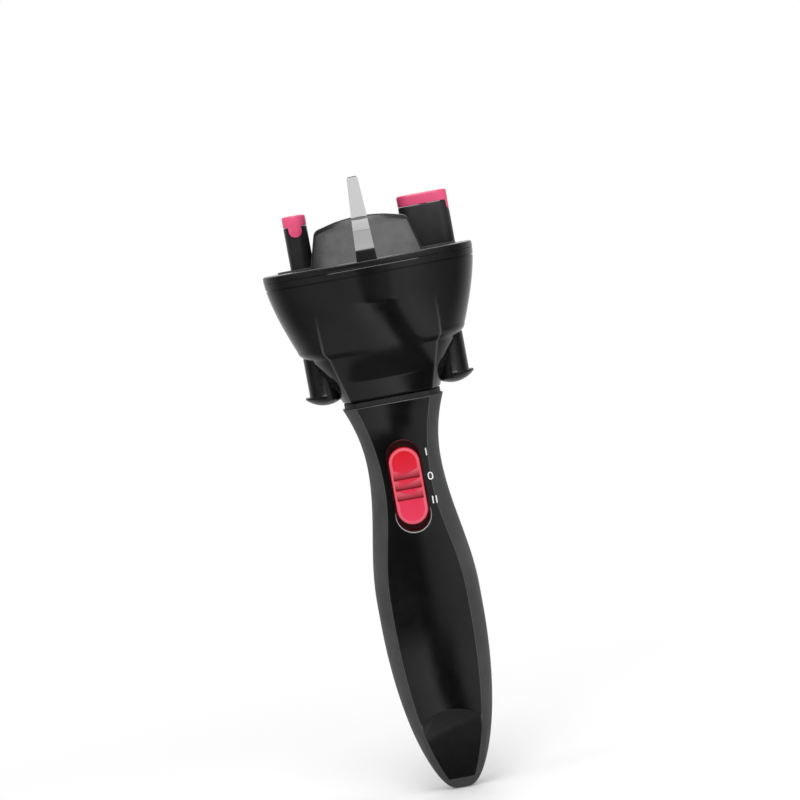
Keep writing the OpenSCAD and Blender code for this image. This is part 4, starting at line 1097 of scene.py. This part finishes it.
# soft room light and a white backdrop; gloss also shows a dim room in front, with lighter screens
studio = {
    "light": 0.5, "backdropInGloss": 0.7,
    # tones from the left to the right of the room
    "screens": ((0, 0.05), (0.10, 0.25), (0.20, 0.3), (0.30, 0.10), (0.42, 0.0), (0.495, 0.0),
                (0.53, 0.35), (0.60, 0.5), (0.72, 0.6), (0.85, 0.5), (0.95, 0.15), (1, 0.05)),
    "lowScreens": ((0, 0.12), (0.20, 0.35), (0.36, 0.45), (0.455, 0.8), (0.475, 0.1), (0.49, 0.0),
                   (0.55, 0.0), (0.58, 0.5), (0.66, 0.6), (0.80, 0.4), (1, 0.08)),
    # the tone under both, the slant, and the heights where one tone turns into the next
    "nearFloor": 0.06, "slant": 0.35, "steps": ((-0.705, -0.67), (-0.22, -0.14)),
    "backdrop": (-0.1, 0.9),
}
sky = tree.nodes["Background"]
setInputs(sky, {"Color": (1, 1, 1, 1), "Strength": studio["light"]})
backdrop, direct = seenDirectly()
place = addPart("ShaderNodeTexCoord")
split = addPart("ShaderNodeSeparateXYZ")
link(place.outputs["Generated"], split.inputs["Vector"])
screens = addTones(tree, addRange(tree, split.outputs["X"], 0, 1, -1, 1), studio["screens"])
# the low screens slant, so the dark between them crosses the cup at an angle
slant = addPart("ShaderNodeMath", operation="ADD")
link(addRange(tree, split.outputs["Z"], -studio["slant"], 0, -1, -0.3), slant.inputs[0])
link(split.outputs["X"], slant.inputs[1])
lowScreens = addTones(tree, addRange(tree, slant.outputs["Value"], 0, 1, -1, 1),
                      studio["lowScreens"])
roomTone = studio["nearFloor"]
for tones, (low, high) in zip((lowScreens, screens), studio["steps"]):
    # one height of the room above the other
    step = addPart("ShaderNodeMapRange")
    setInputs(step, {"From Min": low, "From Max": high})
    link(split.outputs["Z"], step.inputs["Value"])
    link(tones, step.inputs["To Max"])
    if isinstance(roomTone, float):
        step.inputs["To Min"].default_value = roomTone
    else:
        link(roomTone, step.inputs["To Min"])
    roomTone = step.outputs["Result"]
behind = addPart("ShaderNodeMapRange", interpolation_type="SMOOTHSTEP")
setInputs(behind, {"From Min": studio["backdrop"][0], "From Max": studio["backdrop"][1],
                   "To Max": studio["backdropInGloss"]})
link(split.outputs["Y"], behind.inputs["Value"])
link(roomTone, behind.inputs["To Min"])
strength = addPart("ShaderNodeMapRange")
strength.inputs["To Max"].default_value = 1
link(backdrop, strength.inputs["Value"])
link(behind.outputs["Result"], strength.inputs["To Min"])
white = addPart("ShaderNodeBackground")
white.inputs["Color"].default_value = (1, 1, 1, 1)
link(strength.outputs["Result"], white.inputs["Strength"])
mixed = addPart("ShaderNodeMixShader")
link(direct, mixed.inputs["Fac"])
link(sky.outputs["Background"], mixed.inputs[1])
link(white.outputs["Background"], mixed.inputs[2])
link(mixed.outputs["Shader"], tree.nodes["World Output"].inputs["Surface"])

# round floor whose paint fades into the white backdrop away from the braider
stage = {"radius": 650, "clear": 90, "faded": 420, "z": -0.5, "sides": 128}
floor = newPiece("floor", atHeight(circle(stage["radius"], stage["sides"]), stage["z"]),
                 [list(range(stage["sides"]))])
floorPaint, tree, shader = startMaterial("floorPaint", Roughness=0.7, Specular_IOR_Level=0.2)
link(addColours(tree, addNoise(tree, 4), (0.93, 0.93, 0.93), (0.96, 0.96, 0.96)),
     shader.inputs["Base Color"])
direct = seenDirectly()[1]
place = addPart("ShaderNodeTexCoord")
reach = addPart("ShaderNodeVectorMath", operation="LENGTH")
link(place.outputs["Object"], reach.inputs[0])
away = addPart("ShaderNodeMapRange", interpolation_type="SMOOTHSTEP")
setInputs(away, {"From Min": stage["clear"] * mm, "From Max": stage["faded"] * mm})
link(reach.outputs["Value"], away.inputs["Value"])
share = addPart("ShaderNodeMath", operation="MULTIPLY")
link(direct, share.inputs[0])
link(away.outputs["Result"], share.inputs[1])
glow = addPart("ShaderNodeEmission")
mixed = addPart("ShaderNodeMixShader")
link(share.outputs["Value"], mixed.inputs["Fac"])
link(shader.outputs["BSDF"], mixed.inputs[1])
link(glow.outputs["Emission"], mixed.inputs[2])
link(mixed.outputs["Shader"], tree.nodes["Material Output"].inputs["Surface"])
floor.data.materials.append(floorPaint)
floor.visible_glossy = False

bpy.context.scene.view_settings.view_transform = "Standard"
print("scene ready")
